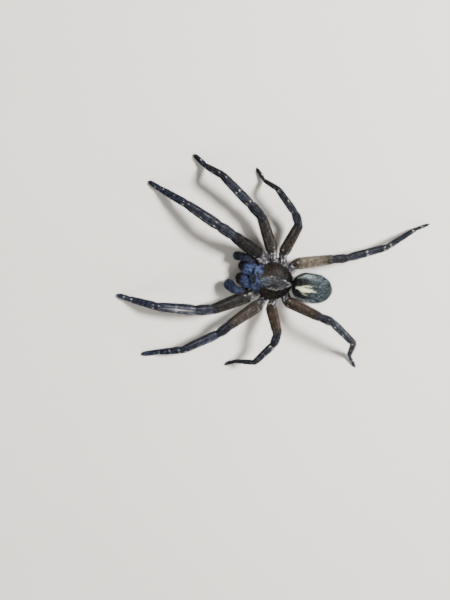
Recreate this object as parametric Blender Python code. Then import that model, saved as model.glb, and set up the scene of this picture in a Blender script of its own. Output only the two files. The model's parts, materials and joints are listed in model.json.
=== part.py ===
"""A wandering spider at life size, standing still, parted with thin cuts where its parts are named.

Sizes are in millimetres, and become metres where a mesh is made. +Z is up with the floor at Z = 0,
the head faces -Y and the animal's left is +X. While the parts are made, X = 0, Y = 0 is the middle
of the thorax. At the end the whole animal moves, so that the origin lies on the floor under the
centre of its bounding box. Every outline is that of the coat, a little outside the skin.
"""

import math
from collections import namedtuple

import bmesh
import bpy
from mathutils import Vector

MM = 0.001
GAP = 0.26                      # width of each thin cut between neighbours
UP = Vector((0.0, 0.0, 1.0))
LEFT, RIGHT = 1, -1
SIDE_NAMES = {LEFT: "left", RIGHT: "right"}

# ---------------------------------------------------------------- legs
LEG_SIDES = 10                  # facets round a leg
COXA_HEIGHT = 5.5               # where each femur starts, above the floor
COXA_INNER_HEIGHT = 4.9
SOLE_DEPTH = 0.12               # how much of each foot's tip its flat sole cuts away
HIP_BEND = 0.74                 # where the coxa ends and the trochanter begins, along that node

LegSize = namedtuple("LegSize", "inner base lengths radii")
# inner and base: (sideways, rearwards) ends of the coxa; lengths: femur, patella, tibia,
# metatarsus, tarsus; radii: coxa, femur, patella, tibia, metatarsus, tarsus
LEG_SIZES = {
    1: LegSize((3.0, -3.3), (6.9, -7.2), (12.7, 5.5, 12.7, 10.4, 4.9), (1.62, 1.95, 1.66, 1.54, 1.20, 0.84)),
    2: LegSize((3.2, -1.1), (9.0, -3.2), (12.2, 5.4, 13.4, 10.0, 5.5), (1.47, 1.84, 1.54, 1.36, 1.06, 0.80)),
    3: LegSize((3.2, 1.2), (8.9, 0.4), (10.9, 4.6, 9.7, 9.1, 4.6), (1.44, 1.70, 1.34, 1.08, 0.76, 0.58)),
    4: LegSize((2.8, 3.4), (6.3, 5.0), (13.5, 5.1, 13.7, 13.0, 5.6), (1.56, 1.72, 1.38, 1.18, 0.86, 0.52)),
}

Pose = namedtuple("Pose", "bearings lifts")
# bearings: degrees from the animal's left towards its rear, for femur, patella, tibia, metatarsus
# and tarsus; lifts: degrees above the level, for the same without the metatarsus, whose slope is
# worked out so that the foot comes down to the floor
POSES = {
    (LEFT, 1): Pose((299, 280, 279, 276, 270), (15, 12, -10, -21)),
    (LEFT, 2): Pose((311, 329, 309, 298, 292), (23, -27, -6, -11)),
    (LEFT, 3): Pose((24, 0, 332, 300, 312), (51, -24, -16, -32)),
    (LEFT, 4): Pose((86, 92, 54, 16, 39), (43, 46, -26, -18)),
    (RIGHT, 1): Pose((240, 246, 251, 257, 252), (29, 8, -23, -17)),
    (RIGHT, 2): Pose((210, 233, 235, 264, 240), (12, 6, 11, -24)),
    (RIGHT, 3): Pose((167, 211, 228, 262, 224), (14, 22, 2, -22)),
    (RIGHT, 4): Pose((119, 101, 114, 124, 117), (35, -20, -11, -21)),
}

# (fraction of the length, radius as a share of the segment's own), from the body outwards
COXA_PROFILE = ((0.0, 0.70), (0.35, 0.98), (0.62, 1.0), (HIP_BEND, 0.92), (0.86, 0.98), (1.0, 0.98))
FEMUR_PROFILE = ((0.0, 0.93), (0.14, 1.04), (0.45, 1.0), (0.80, 0.92), (1.0, 0.84))
PATELLA_PROFILE = ((0.0, 0.88), (0.35, 1.0), (0.75, 0.98), (1.0, 0.88))
TIBIA_PROFILE = ((0.0, 0.94), (0.20, 1.06), (0.55, 1.0), (0.85, 0.90), (1.0, 0.80))
METATARSUS_PROFILE = ((0.0, 0.92), (0.15, 1.06), (0.50, 1.0), (0.85, 0.88), (1.0, 0.80))
TARSUS_PROFILE = ((0.15, 0.96), (0.50, 1.0), (0.80, 0.90), (0.94, 0.78))
TARSUS_TIP_SHARE = 0.50

# ---------------------------------------------------------------- trunk
Section = namedtuple("Section", "y half_width top bottom")
CARAPACE_SECTIONS = (
    Section(-8.05, 2.70, 9.75, 8.45),
    Section(-7.70, 3.45, 10.50, 8.40),
    Section(-6.80, 3.98, 11.10, 8.10),
    Section(-5.20, 4.55, 11.42, 7.20),
    Section(-3.20, 5.65, 11.48, 7.10),
    Section(-1.20, 6.20, 11.38, 7.10),
    Section(0.80, 5.88, 11.12, 7.10),
    Section(2.60, 4.90, 10.50, 7.10),
    Section(3.95, 3.45, 9.60, 7.10),
    Section(4.75, 2.05, 8.62, 7.12),
    Section(5.12, 1.00, 7.95, 7.25),
)
CARAPACE_SQUARENESS = 2.3       # exponent of the arch over the back: 2 is an ellipse
STERNUM_SECTIONS = (
    Section(-6.10, 0.50, 5.60, 4.30),
    Section(-5.00, 0.80, 6.55, 3.90),
    Section(-3.80, 1.75, 6.80, 3.80),
    Section(-1.50, 2.50, 6.84, 3.70),
    Section(1.00, 2.60, 6.84, 3.70),
    Section(3.00, 2.00, 6.84, 3.80),
    Section(4.10, 1.15, 6.80, 4.20),
    Section(4.60, 0.70, 6.60, 4.90),
)
STERNUM_SQUARENESS = 2.6

ABDOMEN_FRONT = 5.2
ABDOMEN_LENGTH = 13.0
ABDOMEN_HALF_WIDTH = 4.8
ABDOMEN_HALF_HEIGHT = 4.25
ABDOMEN_MIDDLE = (8.45, 7.15)   # height of its long axis, at the front and at the rear
ABDOMEN_WIDEST = 0.52           # share of the length from the front
ABDOMEN_BLUNTNESS = (3.4, 2.1)  # exponents of its outline before and behind the widest place
ABDOMEN_RINGS = 13
ABDOMEN_SIDES = 20

PEDICEL_RADIUS = 0.60
PEDICEL_ENDS = (Vector((0.0, 4.86, 5.75)), Vector((0.0, 5.84, 5.60)))

SPINNERET_BASE = Vector((0.0, 16.60, 3.95))
SPINNERET_TIP = Vector((0.0, 17.55, 2.45))
SPINNERET_RADII = (1.20, 1.25, 0.95, 0.55)
SPINNERET_LOBES = 4
SPINNERET_LOBE_DEPTH = 0.16

# ---------------------------------------------------------------- head
# Stations of the left-hand pieces: (X, Y, Z, radius)
CHELICERA_PATH = (
    (2.15, -6.90, 6.60, 1.05),
    (2.15, -8.25, 6.90, 1.80),
    (2.15, -9.60, 6.26, 2.02),
    (2.15, -10.45, 4.98, 2.02),
    (2.10, -10.85, 3.95, 1.84),
    (2.05, -10.97, 2.95, 1.48),
)
CHELICERA_SIDES = 14
FANG_PATH = (
    (2.76, -11.12, 1.56, 0.46),
    (1.95, -11.04, 1.22, 0.40),
    (1.10, -10.75, 1.10, 0.30),
    (0.42, -10.30, 1.22, 0.16),
)
FANG_SIDES = 8
PALP_SIDES = 12
PALP_ROOT = ((1.95, -5.35, 4.20, 0.82), (3.10, -6.75, 4.05, 0.98), (4.20, -7.95, 4.05, 0.90))
# The free part of each palp: knee, tibia and tarsus, which the two sides hold differently
PALP_REACH = {
    LEFT: (
        (4.90, -9.05, 5.40, 0.76),
        (5.35, -10.50, 7.10, 1.02),
        (5.55, -12.00, 6.95, 1.36),
        (5.28, -13.30, 5.60, 1.70),
        (4.88, -14.20, 4.25, 1.70),
        (4.60, -14.80, 3.05, 1.20),
    ),
    RIGHT: (
        (4.90, -9.05, 5.40, 0.76),
        (5.35, -10.40, 7.15, 1.02),
        (5.55, -11.70, 7.05, 1.26),
        (5.30, -12.80, 5.75, 1.44),
        (4.90, -13.55, 4.20, 1.42),
        (4.60, -13.95, 2.85, 1.00),
    ),
}

Eye = namedtuple("Eye", "name x y z radius")
EYES = (
    Eye("front", 0.40, -7.98, 9.12, 0.26),
    Eye("side", 1.42, -7.84, 9.50, 0.20),
    Eye("middle", 0.66, -7.72, 10.02, 0.42),
    Eye("back", 1.62, -6.96, 10.62, 0.40),
)
EYE_SOCKET_GAP = 0.07

Finish = namedtuple("Finish", "colour roughness")
FINISHES = {
    "brown_shell": Finish((0.055, 0.040, 0.028), 0.55),
    "blue_grey_hair": Finish((0.070, 0.085, 0.120), 0.70),
    "mauve_hair": Finish((0.130, 0.110, 0.120), 0.70),
    "brown_hair": Finish((0.080, 0.050, 0.034), 0.70),
    "black_hair": Finish((0.030, 0.028, 0.030), 0.70),
    "green_grey_hair": Finish((0.060, 0.068, 0.060), 0.75),
    "black_horn": Finish((0.010, 0.007, 0.006), 0.25),
    "eye": Finish((0.006, 0.006, 0.008), 0.08),
}


# ---------------------------------------------------------------- shared tools
def clear_scene():
    """Take every object out of the open scene."""
    for item in list(bpy.data.objects):
        bpy.data.objects.remove(item, do_unlink=True)


def make_materials():
    """One Principled material for each finish."""
    materials = {}
    for name, finish in FINISHES.items():
        material = bpy.data.materials.new(name)
        material.use_nodes = True
        shader = material.node_tree.nodes["Principled BSDF"]
        shader.inputs["Base Color"].default_value = (*finish.colour, 1.0)
        shader.inputs["Roughness"].default_value = finish.roughness
        shader.inputs["Metallic"].default_value = 0.0
        materials[name] = material
    return materials


def loft(name, rings, material, parent):
    """A closed body through rings of points, all wound alike, with a flat cap at each end."""
    shape = bmesh.new()
    loops = [[shape.verts.new(point * MM) for point in ring] for ring in rings]
    for lower, upper in zip(loops, loops[1:]):
        for i in range(len(lower)):
            j = (i + 1) % len(lower)
            shape.faces.new((lower[i], lower[j], upper[j], upper[i]))
    shape.faces.new(loops[0])
    shape.faces.new(loops[-1])
    bmesh.ops.recalc_face_normals(shape, faces=shape.faces)
    mesh = bpy.data.meshes.new(name)
    shape.to_mesh(mesh)
    shape.free()
    return place_mesh(name, mesh, material, parent)


def place_mesh(name, mesh, material, parent):
    """Put a mesh in the scene as a smooth-shaded object under the spider's empty."""
    mesh.materials.append(material)
    mesh.shade_smooth()
    mesh.set_sharp_from_angle(angle=math.radians(50))
    item = bpy.data.objects.new(name, mesh)
    bpy.context.collection.objects.link(item)
    item.parent = parent
    return item


def circle(centre, axis, radius, sides):
    """Points round centre in the plane square to axis, the first one level with it."""
    across = axis.cross(UP).normalized()
    above = across.cross(axis).normalized()
    turns = [2.0 * math.pi * (i + 0.5) / sides for i in range(sides)]
    return [centre + radius * (across * math.cos(a) + above * math.sin(a)) for a in turns]


def slide_to_plane(points, axis, on_plane, normal):
    """Move points along axis until they lie in a plane: a mitred end."""
    reach = axis.dot(normal)
    return [p + axis * ((on_plane - p).dot(normal) / reach) for p in points]


def direction(bearing, lift):
    """Unit vector from a bearing and a lift in degrees."""
    turn, rise = math.radians(bearing), math.radians(lift)
    return Vector((math.cos(turn) * math.cos(rise), math.sin(turn) * math.cos(rise), math.sin(rise)))


def tube_along(name, stations, sides, side, material, parent):
    """A round-ended body through stations (X, Y, Z, radius), mirrored for the right side."""
    centres = [Vector((side * x, y, z)) for x, y, z, _ in stations]
    radii = [station[3] for station in stations]
    steps = [(b - a).normalized() for a, b in zip(centres, centres[1:])]
    axes = [steps[0]] + [(a + b).normalized() for a, b in zip(steps, steps[1:])] + [steps[-1]]
    rings = [circle(centres[0] - steps[0] * radii[0] * 0.30, axes[0], radii[0] * 0.72, sides)]
    rings += [circle(c, axis, r, sides) for c, axis, r in zip(centres, axes, radii)]
    rings.append(circle(centres[-1] + steps[-1] * radii[-1] * 0.42, axes[-1], radii[-1] * 0.70, sides))
    rings.append(circle(centres[-1] + steps[-1] * radii[-1] * 0.60, axes[-1], radii[-1] * 0.32, sides))
    return loft(name, rings, material, parent)


# ---------------------------------------------------------------- legs
def tip_height(radius, lift):
    """Height of the middle of a foot's tip, so that the floor cuts a flat sole on it."""
    return TARSUS_TIP_SHARE * radius * math.cos(math.radians(lift)) - SOLE_DEPTH


def leg_points(side, pair):
    """The leg's joints: coxa's inner end, hip, knee, patella's end, tibia's end, ankle and tip."""
    size, pose = LEG_SIZES[pair], POSES[side, pair]
    inner = Vector((side * size.inner[0], size.inner[1], COXA_INNER_HEIGHT))
    points = [inner, Vector((side * size.base[0], size.base[1], COXA_HEIGHT))]
    for length, bearing, lift in zip(size.lengths[:3], pose.bearings, pose.lifts):
        points.append(points[-1] + length * direction(bearing, lift))
    tarsus = size.lengths[4] * direction(pose.bearings[4], pose.lifts[3])
    drop = points[-1].z + tarsus.z - tip_height(size.radii[5], pose.lifts[3])
    slope = -math.degrees(math.asin(drop / size.lengths[3]))
    points.append(points[-1] + size.lengths[3] * direction(pose.bearings[3], slope))
    points.append(points[-1] + tarsus)
    return points


def mitre(before, middle, after):
    """The plane that parts two segments: its normal, halfway between their directions."""
    return ((middle - before).normalized() + (after - middle).normalized()).normalized()


def segment_rings(start, end, radius, profile, start_normal, end_normal):
    """Rings from start to end, the end ones mitred and half a cut short of the joints."""
    axis = (end - start).normalized()
    length = (end - start).length
    first, last = profile[0][1] * radius, profile[-1][1] * radius
    start_clear = first * math.tan(axis.angle(start_normal)) + GAP
    end_clear = last * math.tan(axis.angle(end_normal)) + GAP
    rings = []
    for fraction, share in profile:
        along = min(max(fraction * length, start_clear), length - end_clear)
        rings.append(circle(start + axis * along, axis, share * radius, LEG_SIDES))
    head = start + start_normal * (GAP / 2.0)
    tail = end - end_normal * (GAP / 2.0)
    rings[0] = slide_to_plane(rings[0], axis, head, start_normal)
    rings[-1] = slide_to_plane(rings[-1], axis, tail, end_normal)
    return rings


def coxa_rings(points, radius, hip_normal):
    """The coxa and the trochanter beyond it, square at the sternum and mitred at the hip."""
    axis = (points[1] - points[0]).normalized()
    return segment_rings(points[0], points[1], radius, COXA_PROFILE, axis, hip_normal)


def foot_rings(points, radii, ankle_normal):
    """Metatarsus and tarsus as one piece, round at its tip and cut flat where it stands."""
    ankle, joint, tip = points[4:7]
    shank = (joint - ankle).normalized()
    toe = (tip - joint).normalized()
    bend = mitre(ankle, joint, tip)
    rings = segment_rings(ankle, joint, radii[4], METATARSUS_PROFILE, ankle_normal, shank)[:-1]
    waist = METATARSUS_PROFILE[-1][1] * radii[4]
    rings.append(slide_to_plane(circle(joint, shank, waist, LEG_SIDES), shank, joint, bend))
    length = (tip - joint).length
    for fraction, share in TARSUS_PROFILE:
        rings.append(circle(joint + toe * fraction * length, toe, share * radii[5], LEG_SIDES))
    rings.append(circle(tip, toe, TARSUS_TIP_SHARE * radii[5], LEG_SIDES))
    for ring in rings:
        for point in ring:
            point.z = max(point.z, 0.0)
    return rings


def build_leg(side, pair, materials, parent):
    """One leg: coxa with trochanter, femur, patella, tibia, and foot."""
    points = leg_points(side, pair)
    radii = LEG_SIZES[pair].radii
    normals = [mitre(*points[i - 1:i + 2]) for i in range(1, 5)]
    hip, knee, patella_end, ankle = normals
    suffix = f"{SIDE_NAMES[side]}_{pair}"
    loft(f"coxa_{suffix}", coxa_rings(points, radii[0], hip), materials["mauve_hair"], parent)
    limbs = (
        ("femur", FEMUR_PROFILE, hip, knee, "brown_hair"),
        ("patella", PATELLA_PROFILE, knee, patella_end, "black_hair"),
        ("tibia", TIBIA_PROFILE, patella_end, ankle, "black_hair"),
    )
    for i, (name, profile, start_normal, end_normal, finish) in enumerate(limbs, start=1):
        rings = segment_rings(points[i], points[i + 1], radii[i], profile, start_normal, end_normal)
        loft(f"{name}_{suffix}", rings, materials[finish], parent)
    loft(f"foot_{suffix}", foot_rings(points, radii, ankle), materials["black_hair"], parent)


# ---------------------------------------------------------------- trunk
def arch_ring(section, squareness, arch_points):
    """A section across the body: a rounded arch over a flat base."""
    points = []
    rise = section.top - section.bottom
    for i in range(arch_points + 1):
        turn = math.pi * i / arch_points
        reach = abs(math.cos(turn)) ** (2.0 / squareness) * math.copysign(1.0, math.cos(turn))
        height = math.sin(turn) ** (2.0 / squareness)
        points.append(Vector((section.half_width * reach, section.y, section.bottom + rise * height)))
    for share in (-0.5, 0.0, 0.5):
        points.append(Vector((section.half_width * share, section.y, section.bottom)))
    return points


def build_carapace(materials, parent):
    """The shell over head and thorax, with a socket for each eye."""
    rings = [arch_ring(section, CARAPACE_SQUARENESS, 16) for section in CARAPACE_SECTIONS]
    carapace = loft("carapace", rings, materials["brown_shell"], parent)
    cutter = build_socket_cutter(parent)
    cut = carapace.modifiers.new("eye_sockets", "BOOLEAN")
    cut.operation = "DIFFERENCE"
    cut.object = cutter
    return carapace


def ball(shape, centre, radius, segments, rings):
    """Add a ball to a bmesh."""
    made = bmesh.ops.create_uvsphere(shape, u_segments=segments, v_segments=rings, radius=radius * MM)
    bmesh.ops.translate(shape, verts=made["verts"], vec=centre * MM)


def build_socket_cutter(parent):
    """The balls that hollow the eye sockets: a guide, not a part."""
    shape = bmesh.new()
    for side in (LEFT, RIGHT):
        for eye in EYES:
            ball(shape, Vector((side * eye.x, eye.y, eye.z)), eye.radius + EYE_SOCKET_GAP, 10, 6)
    mesh = bpy.data.meshes.new("socket_cutter")
    shape.to_mesh(mesh)
    shape.free()
    cutter = bpy.data.objects.new("socket_cutter", mesh)
    bpy.context.collection.objects.link(cutter)
    cutter.parent = parent
    cutter.hide_render = True
    cutter.display_type = "WIRE"
    return cutter


def build_sternum(materials, parent):
    """The breastplate between the coxae, with the flesh above it up to the carapace."""
    rings = [arch_ring(section, STERNUM_SQUARENESS, 10) for section in STERNUM_SECTIONS]
    loft("sternum", rings, materials["mauve_hair"], parent)


def build_pedicel(materials, parent):
    """The narrow waist between thorax and abdomen."""
    start, end = PEDICEL_ENDS
    axis = (end - start).normalized()
    rings = [circle(start.lerp(end, share), axis, PEDICEL_RADIUS * width, LEG_SIDES)
             for share, width in ((0.0, 1.1), (0.5, 0.9), (1.0, 1.0))]
    loft("pedicel", rings, materials["brown_shell"], parent)


def abdomen_plumpness(along):
    """How full the abdomen is at a share of its length, 1 at its widest place."""
    if along < ABDOMEN_WIDEST:
        off, bluntness = (ABDOMEN_WIDEST - along) / ABDOMEN_WIDEST, ABDOMEN_BLUNTNESS[0]
    else:
        off, bluntness = (along - ABDOMEN_WIDEST) / (1.0 - ABDOMEN_WIDEST), ABDOMEN_BLUNTNESS[1]
    return math.sqrt(1.0 - off ** bluntness)


def abdomen_ring(along):
    """The abdomen's outline across, at a share of its length from the front."""
    plump = abdomen_plumpness(along)
    middle = ABDOMEN_MIDDLE[0] + (ABDOMEN_MIDDLE[1] - ABDOMEN_MIDDLE[0]) * along
    points = []
    for i in range(ABDOMEN_SIDES):
        turn = 2.0 * math.pi * i / ABDOMEN_SIDES
        points.append(Vector((
            ABDOMEN_HALF_WIDTH * plump * math.cos(turn),
            ABDOMEN_FRONT + ABDOMEN_LENGTH * along,
            middle + ABDOMEN_HALF_HEIGHT * plump * math.sin(turn))))
    return points


def build_abdomen(materials, parent):
    """The egg-shaped abdomen, its rings set closer towards the ends."""
    shares = [0.5 - 0.5 * math.cos(math.pi * (i + 0.35) / (ABDOMEN_RINGS - 0.3))
              for i in range(ABDOMEN_RINGS)]
    loft("abdomen", [abdomen_ring(share) for share in shares], materials["green_grey_hair"], parent)


def build_spinnerets(materials, parent):
    """The cluster of short spinnerets behind the abdomen, as one lobed cone."""
    axis = (SPINNERET_TIP - SPINNERET_BASE).normalized()
    sides = SPINNERET_LOBES * 4
    rings = []
    for i, radius in enumerate(SPINNERET_RADII):
        centre = SPINNERET_BASE.lerp(SPINNERET_TIP, i / (len(SPINNERET_RADII) - 1))
        ring = circle(centre, axis, radius, sides)
        for j, point in enumerate(ring):
            turn = 2.0 * math.pi * (j + 0.5) / sides
            swell = SPINNERET_LOBE_DEPTH * math.cos(SPINNERET_LOBES * turn + math.pi)
            ring[j] = centre + (point - centre) * (1.0 + swell * i / 3.0)
        rings.append(ring)
    loft("spinnerets", rings, materials["mauve_hair"], parent)


# ---------------------------------------------------------------- head
def build_mouthparts(side, materials, parent):
    """One side's chelicera, folded fang and palp."""
    name = SIDE_NAMES[side]
    hair, horn = materials["blue_grey_hair"], materials["black_horn"]
    tube_along(f"chelicera_{name}", CHELICERA_PATH, CHELICERA_SIDES, side, hair, parent)
    tube_along(f"fang_{name}", FANG_PATH, FANG_SIDES, side, horn, parent)
    tube_along(f"palp_{name}", PALP_ROOT + PALP_REACH[side], PALP_SIDES, side, hair, parent)


def build_eyes(side, materials, parent):
    """One side's four eyes, each a ball in its socket."""
    for eye in EYES:
        name = f"eye_{eye.name}_{SIDE_NAMES[side]}"
        shape = bmesh.new()
        ball(shape, Vector((side * eye.x, eye.y, eye.z)), eye.radius, 10, 6)
        mesh = bpy.data.meshes.new(name)
        shape.to_mesh(mesh)
        shape.free()
        place_mesh(name, mesh, materials["eye"], parent)


# ---------------------------------------------------------------- the whole animal
def centre_on_footprint(parent):
    """Move the animal so that its bounding box is centred over the origin."""
    bpy.context.view_layer.update()
    corners = [item.matrix_world @ Vector(corner) for item in parent.children
               if not item.hide_render for corner in item.bound_box]
    for axis in range(2):
        values = [corner[axis] for corner in corners]
        parent.location[axis] = -(min(values) + max(values)) / 2.0
    bpy.context.view_layer.update()


def main():
    """Build every part under one empty, then centre the animal."""
    clear_scene()
    materials = make_materials()
    spider = bpy.data.objects.new("spider", None)
    bpy.context.collection.objects.link(spider)
    build_carapace(materials, spider)
    build_sternum(materials, spider)
    build_pedicel(materials, spider)
    build_abdomen(materials, spider)
    build_spinnerets(materials, spider)
    for side in (LEFT, RIGHT):
        build_mouthparts(side, materials, spider)
        build_eyes(side, materials, spider)
        for pair in LEG_SIZES:
            build_leg(side, pair, materials, spider)
    centre_on_footprint(spider)


main()
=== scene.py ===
"""The looks of a life-size wandering spider that stands still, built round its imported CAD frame.

Sizes are in millimetres. While shapes are made, X = 0, Y = 0 is the middle of the thorax and Z = 0 the
floor, with the head towards -Y and the animal's left towards +X. Frame then puts each finished piece in
its place in metres. One skin replaces the nodes of flesh. The carapace, eyes, fangs, claws and spines
are pieces of their own, and the coat is mesh tufts rooted on skin and carapace.

Markings are layers of colour, each with how much of it shows. ease(value, low, high) is how a colour
comes in between two places, and ridge(value, middle, reach) is a stripe at one. Places are millimetres,
shares of a segment or, for top, from 1 above to -1 beneath. cloud and streaks are mottles about from
-1 to 1, each with the size of its mottle in millimetres and its own seed.
"""

import json
import logging
import math
from dataclasses import dataclass, field
from enum import Enum
from typing import Callable

import bpy
import numpy as np
from mathutils import Matrix, Vector, kdtree

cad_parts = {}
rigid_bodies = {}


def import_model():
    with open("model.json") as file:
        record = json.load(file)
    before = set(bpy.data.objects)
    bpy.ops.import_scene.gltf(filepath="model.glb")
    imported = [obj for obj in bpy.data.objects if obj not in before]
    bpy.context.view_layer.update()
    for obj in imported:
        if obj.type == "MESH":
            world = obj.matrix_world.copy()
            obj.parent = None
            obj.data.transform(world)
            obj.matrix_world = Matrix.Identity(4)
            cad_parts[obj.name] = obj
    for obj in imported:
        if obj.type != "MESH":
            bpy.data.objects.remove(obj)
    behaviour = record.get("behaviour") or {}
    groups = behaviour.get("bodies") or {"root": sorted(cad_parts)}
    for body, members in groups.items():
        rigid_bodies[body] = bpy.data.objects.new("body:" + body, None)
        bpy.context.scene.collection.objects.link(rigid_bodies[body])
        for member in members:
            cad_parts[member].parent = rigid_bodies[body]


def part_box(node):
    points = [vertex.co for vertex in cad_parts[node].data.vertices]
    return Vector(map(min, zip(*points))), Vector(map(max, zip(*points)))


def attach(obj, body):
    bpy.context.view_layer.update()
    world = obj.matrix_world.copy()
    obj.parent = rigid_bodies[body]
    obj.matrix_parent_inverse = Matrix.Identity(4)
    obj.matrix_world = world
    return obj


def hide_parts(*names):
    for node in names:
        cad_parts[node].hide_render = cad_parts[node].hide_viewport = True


Array = np.ndarray
Pair = tuple[float, float]
Row = tuple[float, ...]
Rows = tuple[Row, ...]

LOG = logging.getLogger("spider")
MM = 0.001
UP = np.array((0.0, 0.0, 1.0))
SEED = 20


class Region(Enum):
    """The kinds of surface, each coloured and haired in one way."""

    CARAPACE = "carapace"
    JAW = "jaw"
    PALP = "palp"
    COXA = "coxa"
    FEMUR = "femur"
    PATELLA = "patella"
    TIBIA = "tibia"
    METATARSUS = "metatarsus"
    TARSUS = "tarsus"
    ABDOMEN = "abdomen"
    STERNUM = "sternum"
    SPINNERET = "spinneret"
    MEMBRANE = "membrane"


class Side(Enum):
    """The two sides of the animal, as the sign of X."""

    LEFT = 1
    RIGHT = -1

    @property
    def word(self) -> str:
        """The side's name in node and piece names."""
        return self.name.lower()

    def mirror(self, rows: Rows) -> Array:
        """Takes rows that start with X from the left side to this one."""
        return np.array(rows) * ([self.value] + [1.0] * (len(rows[0]) - 1))


class Hair(Enum):
    """The two kinds of hair in the coat."""

    NAP = "nap"
    BRISTLE = "bristle"


# ---------------------------------------------------------------- numbers
def linear(code: str) -> Array:
    """Turns an sRGB hex colour, "#rrggbb", into three values of linear light."""
    value = np.array([int(code[i:i + 2], 16) for i in (1, 3, 5)]) / 255.0
    return np.where(value <= 0.04045, value / 12.92, ((value + 0.055) / 1.055) ** 2.4)


def unit(vectors: Array) -> Array:
    """Scales the vectors in the last axis to length 1."""
    return vectors / np.maximum(np.linalg.norm(vectors, axis=-1, keepdims=True), 1e-9)


def ease(value: Array, low: float, high: float) -> Array:
    """A smooth step from 0 at low to 1 at high, which falls if high is below low."""
    share = np.clip((value - low) / (high - low), 0.0, 1.0)
    return share * share * (3.0 - 2.0 * share)


def ridge(value: Array, middle: float, reach: float) -> Array:
    """A rounded hump, 1 at the middle and near 0 from one and a half reaches away."""
    return np.exp(-(((value - middle) / reach) ** 2))


def through_knots(at: Array, knots: Rows) -> Array:
    """Reads a bent line through knots, each a place and the value there."""
    return np.interp(at, *np.array(knots).T)


def layers(base: Array, *coats: tuple[Array, Array]) -> Array:
    """Lays colours over a base, one after another.

    Args:
        base: The colour or colours beneath.
        coats: Each colour, with how much of it shows at each point.

    Returns:
        One colour for each point.
    """
    for hue, share in coats:
        cover = np.clip(share, 0.0, 1.0)[:, None]
        base = base * (1.0 - cover) + hue * cover
    return base


def cloud(points: Array, grain: float, seed: int) -> Array:
    """A smooth mottle without images: waves in scattered directions, added up.

    Args:
        points: Places in millimetres.
        grain: Size of one mottle in millimetres.
        seed: Which mottle.

    Returns:
        Values about from -1 to 1.
    """
    rng = np.random.default_rng(seed)
    count = 14
    waves = unit(rng.normal(size=(count, 3))) * rng.uniform(0.6, 1.7, (count, 1)) * math.pi / grain
    phases = rng.uniform(0.0, 2.0 * math.pi, count)
    return np.sin(points @ waves.T + phases).sum(axis=1) / 4.2


def flowing(at: Array, knots: Array, values: Array) -> Array:
    """Reads a curve that passes smoothly through its knots with no overshoot.

    Args:
        at: Where to read it.
        knots: Rising places of the knots.
        values: The curve's value, or a row of values, at each knot.

    Returns:
        One value, or one row, for each place.
    """
    rows = values.reshape(len(knots), -1)
    step = np.diff(knots)[:, None]
    slope = np.diff(rows, axis=0) / step
    both = slope[:-1] * slope[1:]
    mean = np.where(both > 0.0, 2.0 * both / np.where(both > 0.0, slope[:-1] + slope[1:], 1.0), 0.0)
    lean = np.vstack((slope[:1], mean, slope[-1:]))
    i = np.clip(np.searchsorted(knots, at) - 1, 0, len(step) - 1)
    h = step[i]
    t = np.clip((at - knots[i])[:, None] / h, 0.0, 1.0)
    curve = ((2 * t**3 - 3 * t**2 + 1) * rows[i] + (t**3 - 2 * t**2 + t) * h * lean[i]
             + (3 * t**2 - 2 * t**3) * rows[i + 1] + (t**3 - t**2) * h * lean[i + 1])
    return curve.reshape((len(at),) + values.shape[1:])


def bearing(turn: float, lift: float) -> Array:
    """The direction that many degrees from +X towards +Y, and that many above the level."""
    a, b = math.radians(turn), math.radians(lift)
    return np.array((math.cos(a) * math.cos(b), math.sin(a) * math.cos(b), math.sin(b)))


def read(items: bpy.types.bpy_prop_collection, name: str, width: int = 1, kind: type = float) -> Array:
    """Reads one property of every item.

    Args:
        items: A mesh's points, corners, edges or faces.
        name: The property.
        width: How many numbers it has.
        kind: What numbers they are.

    Returns:
        One number, or one row, for each item.
    """
    values = np.empty(len(items) * width, kind)
    items.foreach_get(name, values)
    return values.reshape(-1, width) if width > 1 else values


# ---------------------------------------------------------------- meshes
@dataclass
class Shape:
    """Points in millimetres with sets of faces, each set with one number of corners."""

    points: Array
    faces: list[Array]

    @classmethod
    def joined(cls, shapes: list["Shape"]) -> "Shape":
        """Puts several shapes into one.

        Args:
            shapes: The shapes.

        Returns:
            One shape with all their points and faces.
        """
        faces, first = [], 0
        for shape in shapes:
            faces += [part + first for part in shape.faces]
            first += len(shape.points)
        return cls(np.vstack([shape.points for shape in shapes]), faces)

    def above(self, height: float) -> "Shape":
        """Lifts what lies lower to this height, so that nothing sinks into the floor."""
        self.points[:, 2] = np.maximum(self.points[:, 2], height)
        return self

    def mesh(self, name: str, points: Array) -> bpy.types.Mesh:
        """Makes Blender's mesh of this shape.

        Args:
            name: The mesh's name.
            points: Where its points go.

        Returns:
            The mesh, shaded smooth.
        """
        mesh = bpy.data.meshes.new(name)
        corners = np.concatenate([part.ravel() for part in self.faces])
        counts = np.concatenate([np.full(len(part), part.shape[1]) for part in self.faces])
        mesh.vertices.add(len(points))
        mesh.vertices.foreach_set("co", points.astype(np.float32).ravel())
        mesh.loops.add(len(corners))
        mesh.loops.foreach_set("vertex_index", corners.astype(np.int32))
        mesh.polygons.add(len(counts))
        mesh.polygons.foreach_set("loop_start", np.r_[0, np.cumsum(counts)[:-1]].astype(np.int32))
        mesh.update(calc_edges=True)
        mesh.shade_smooth()
        return mesh


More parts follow.
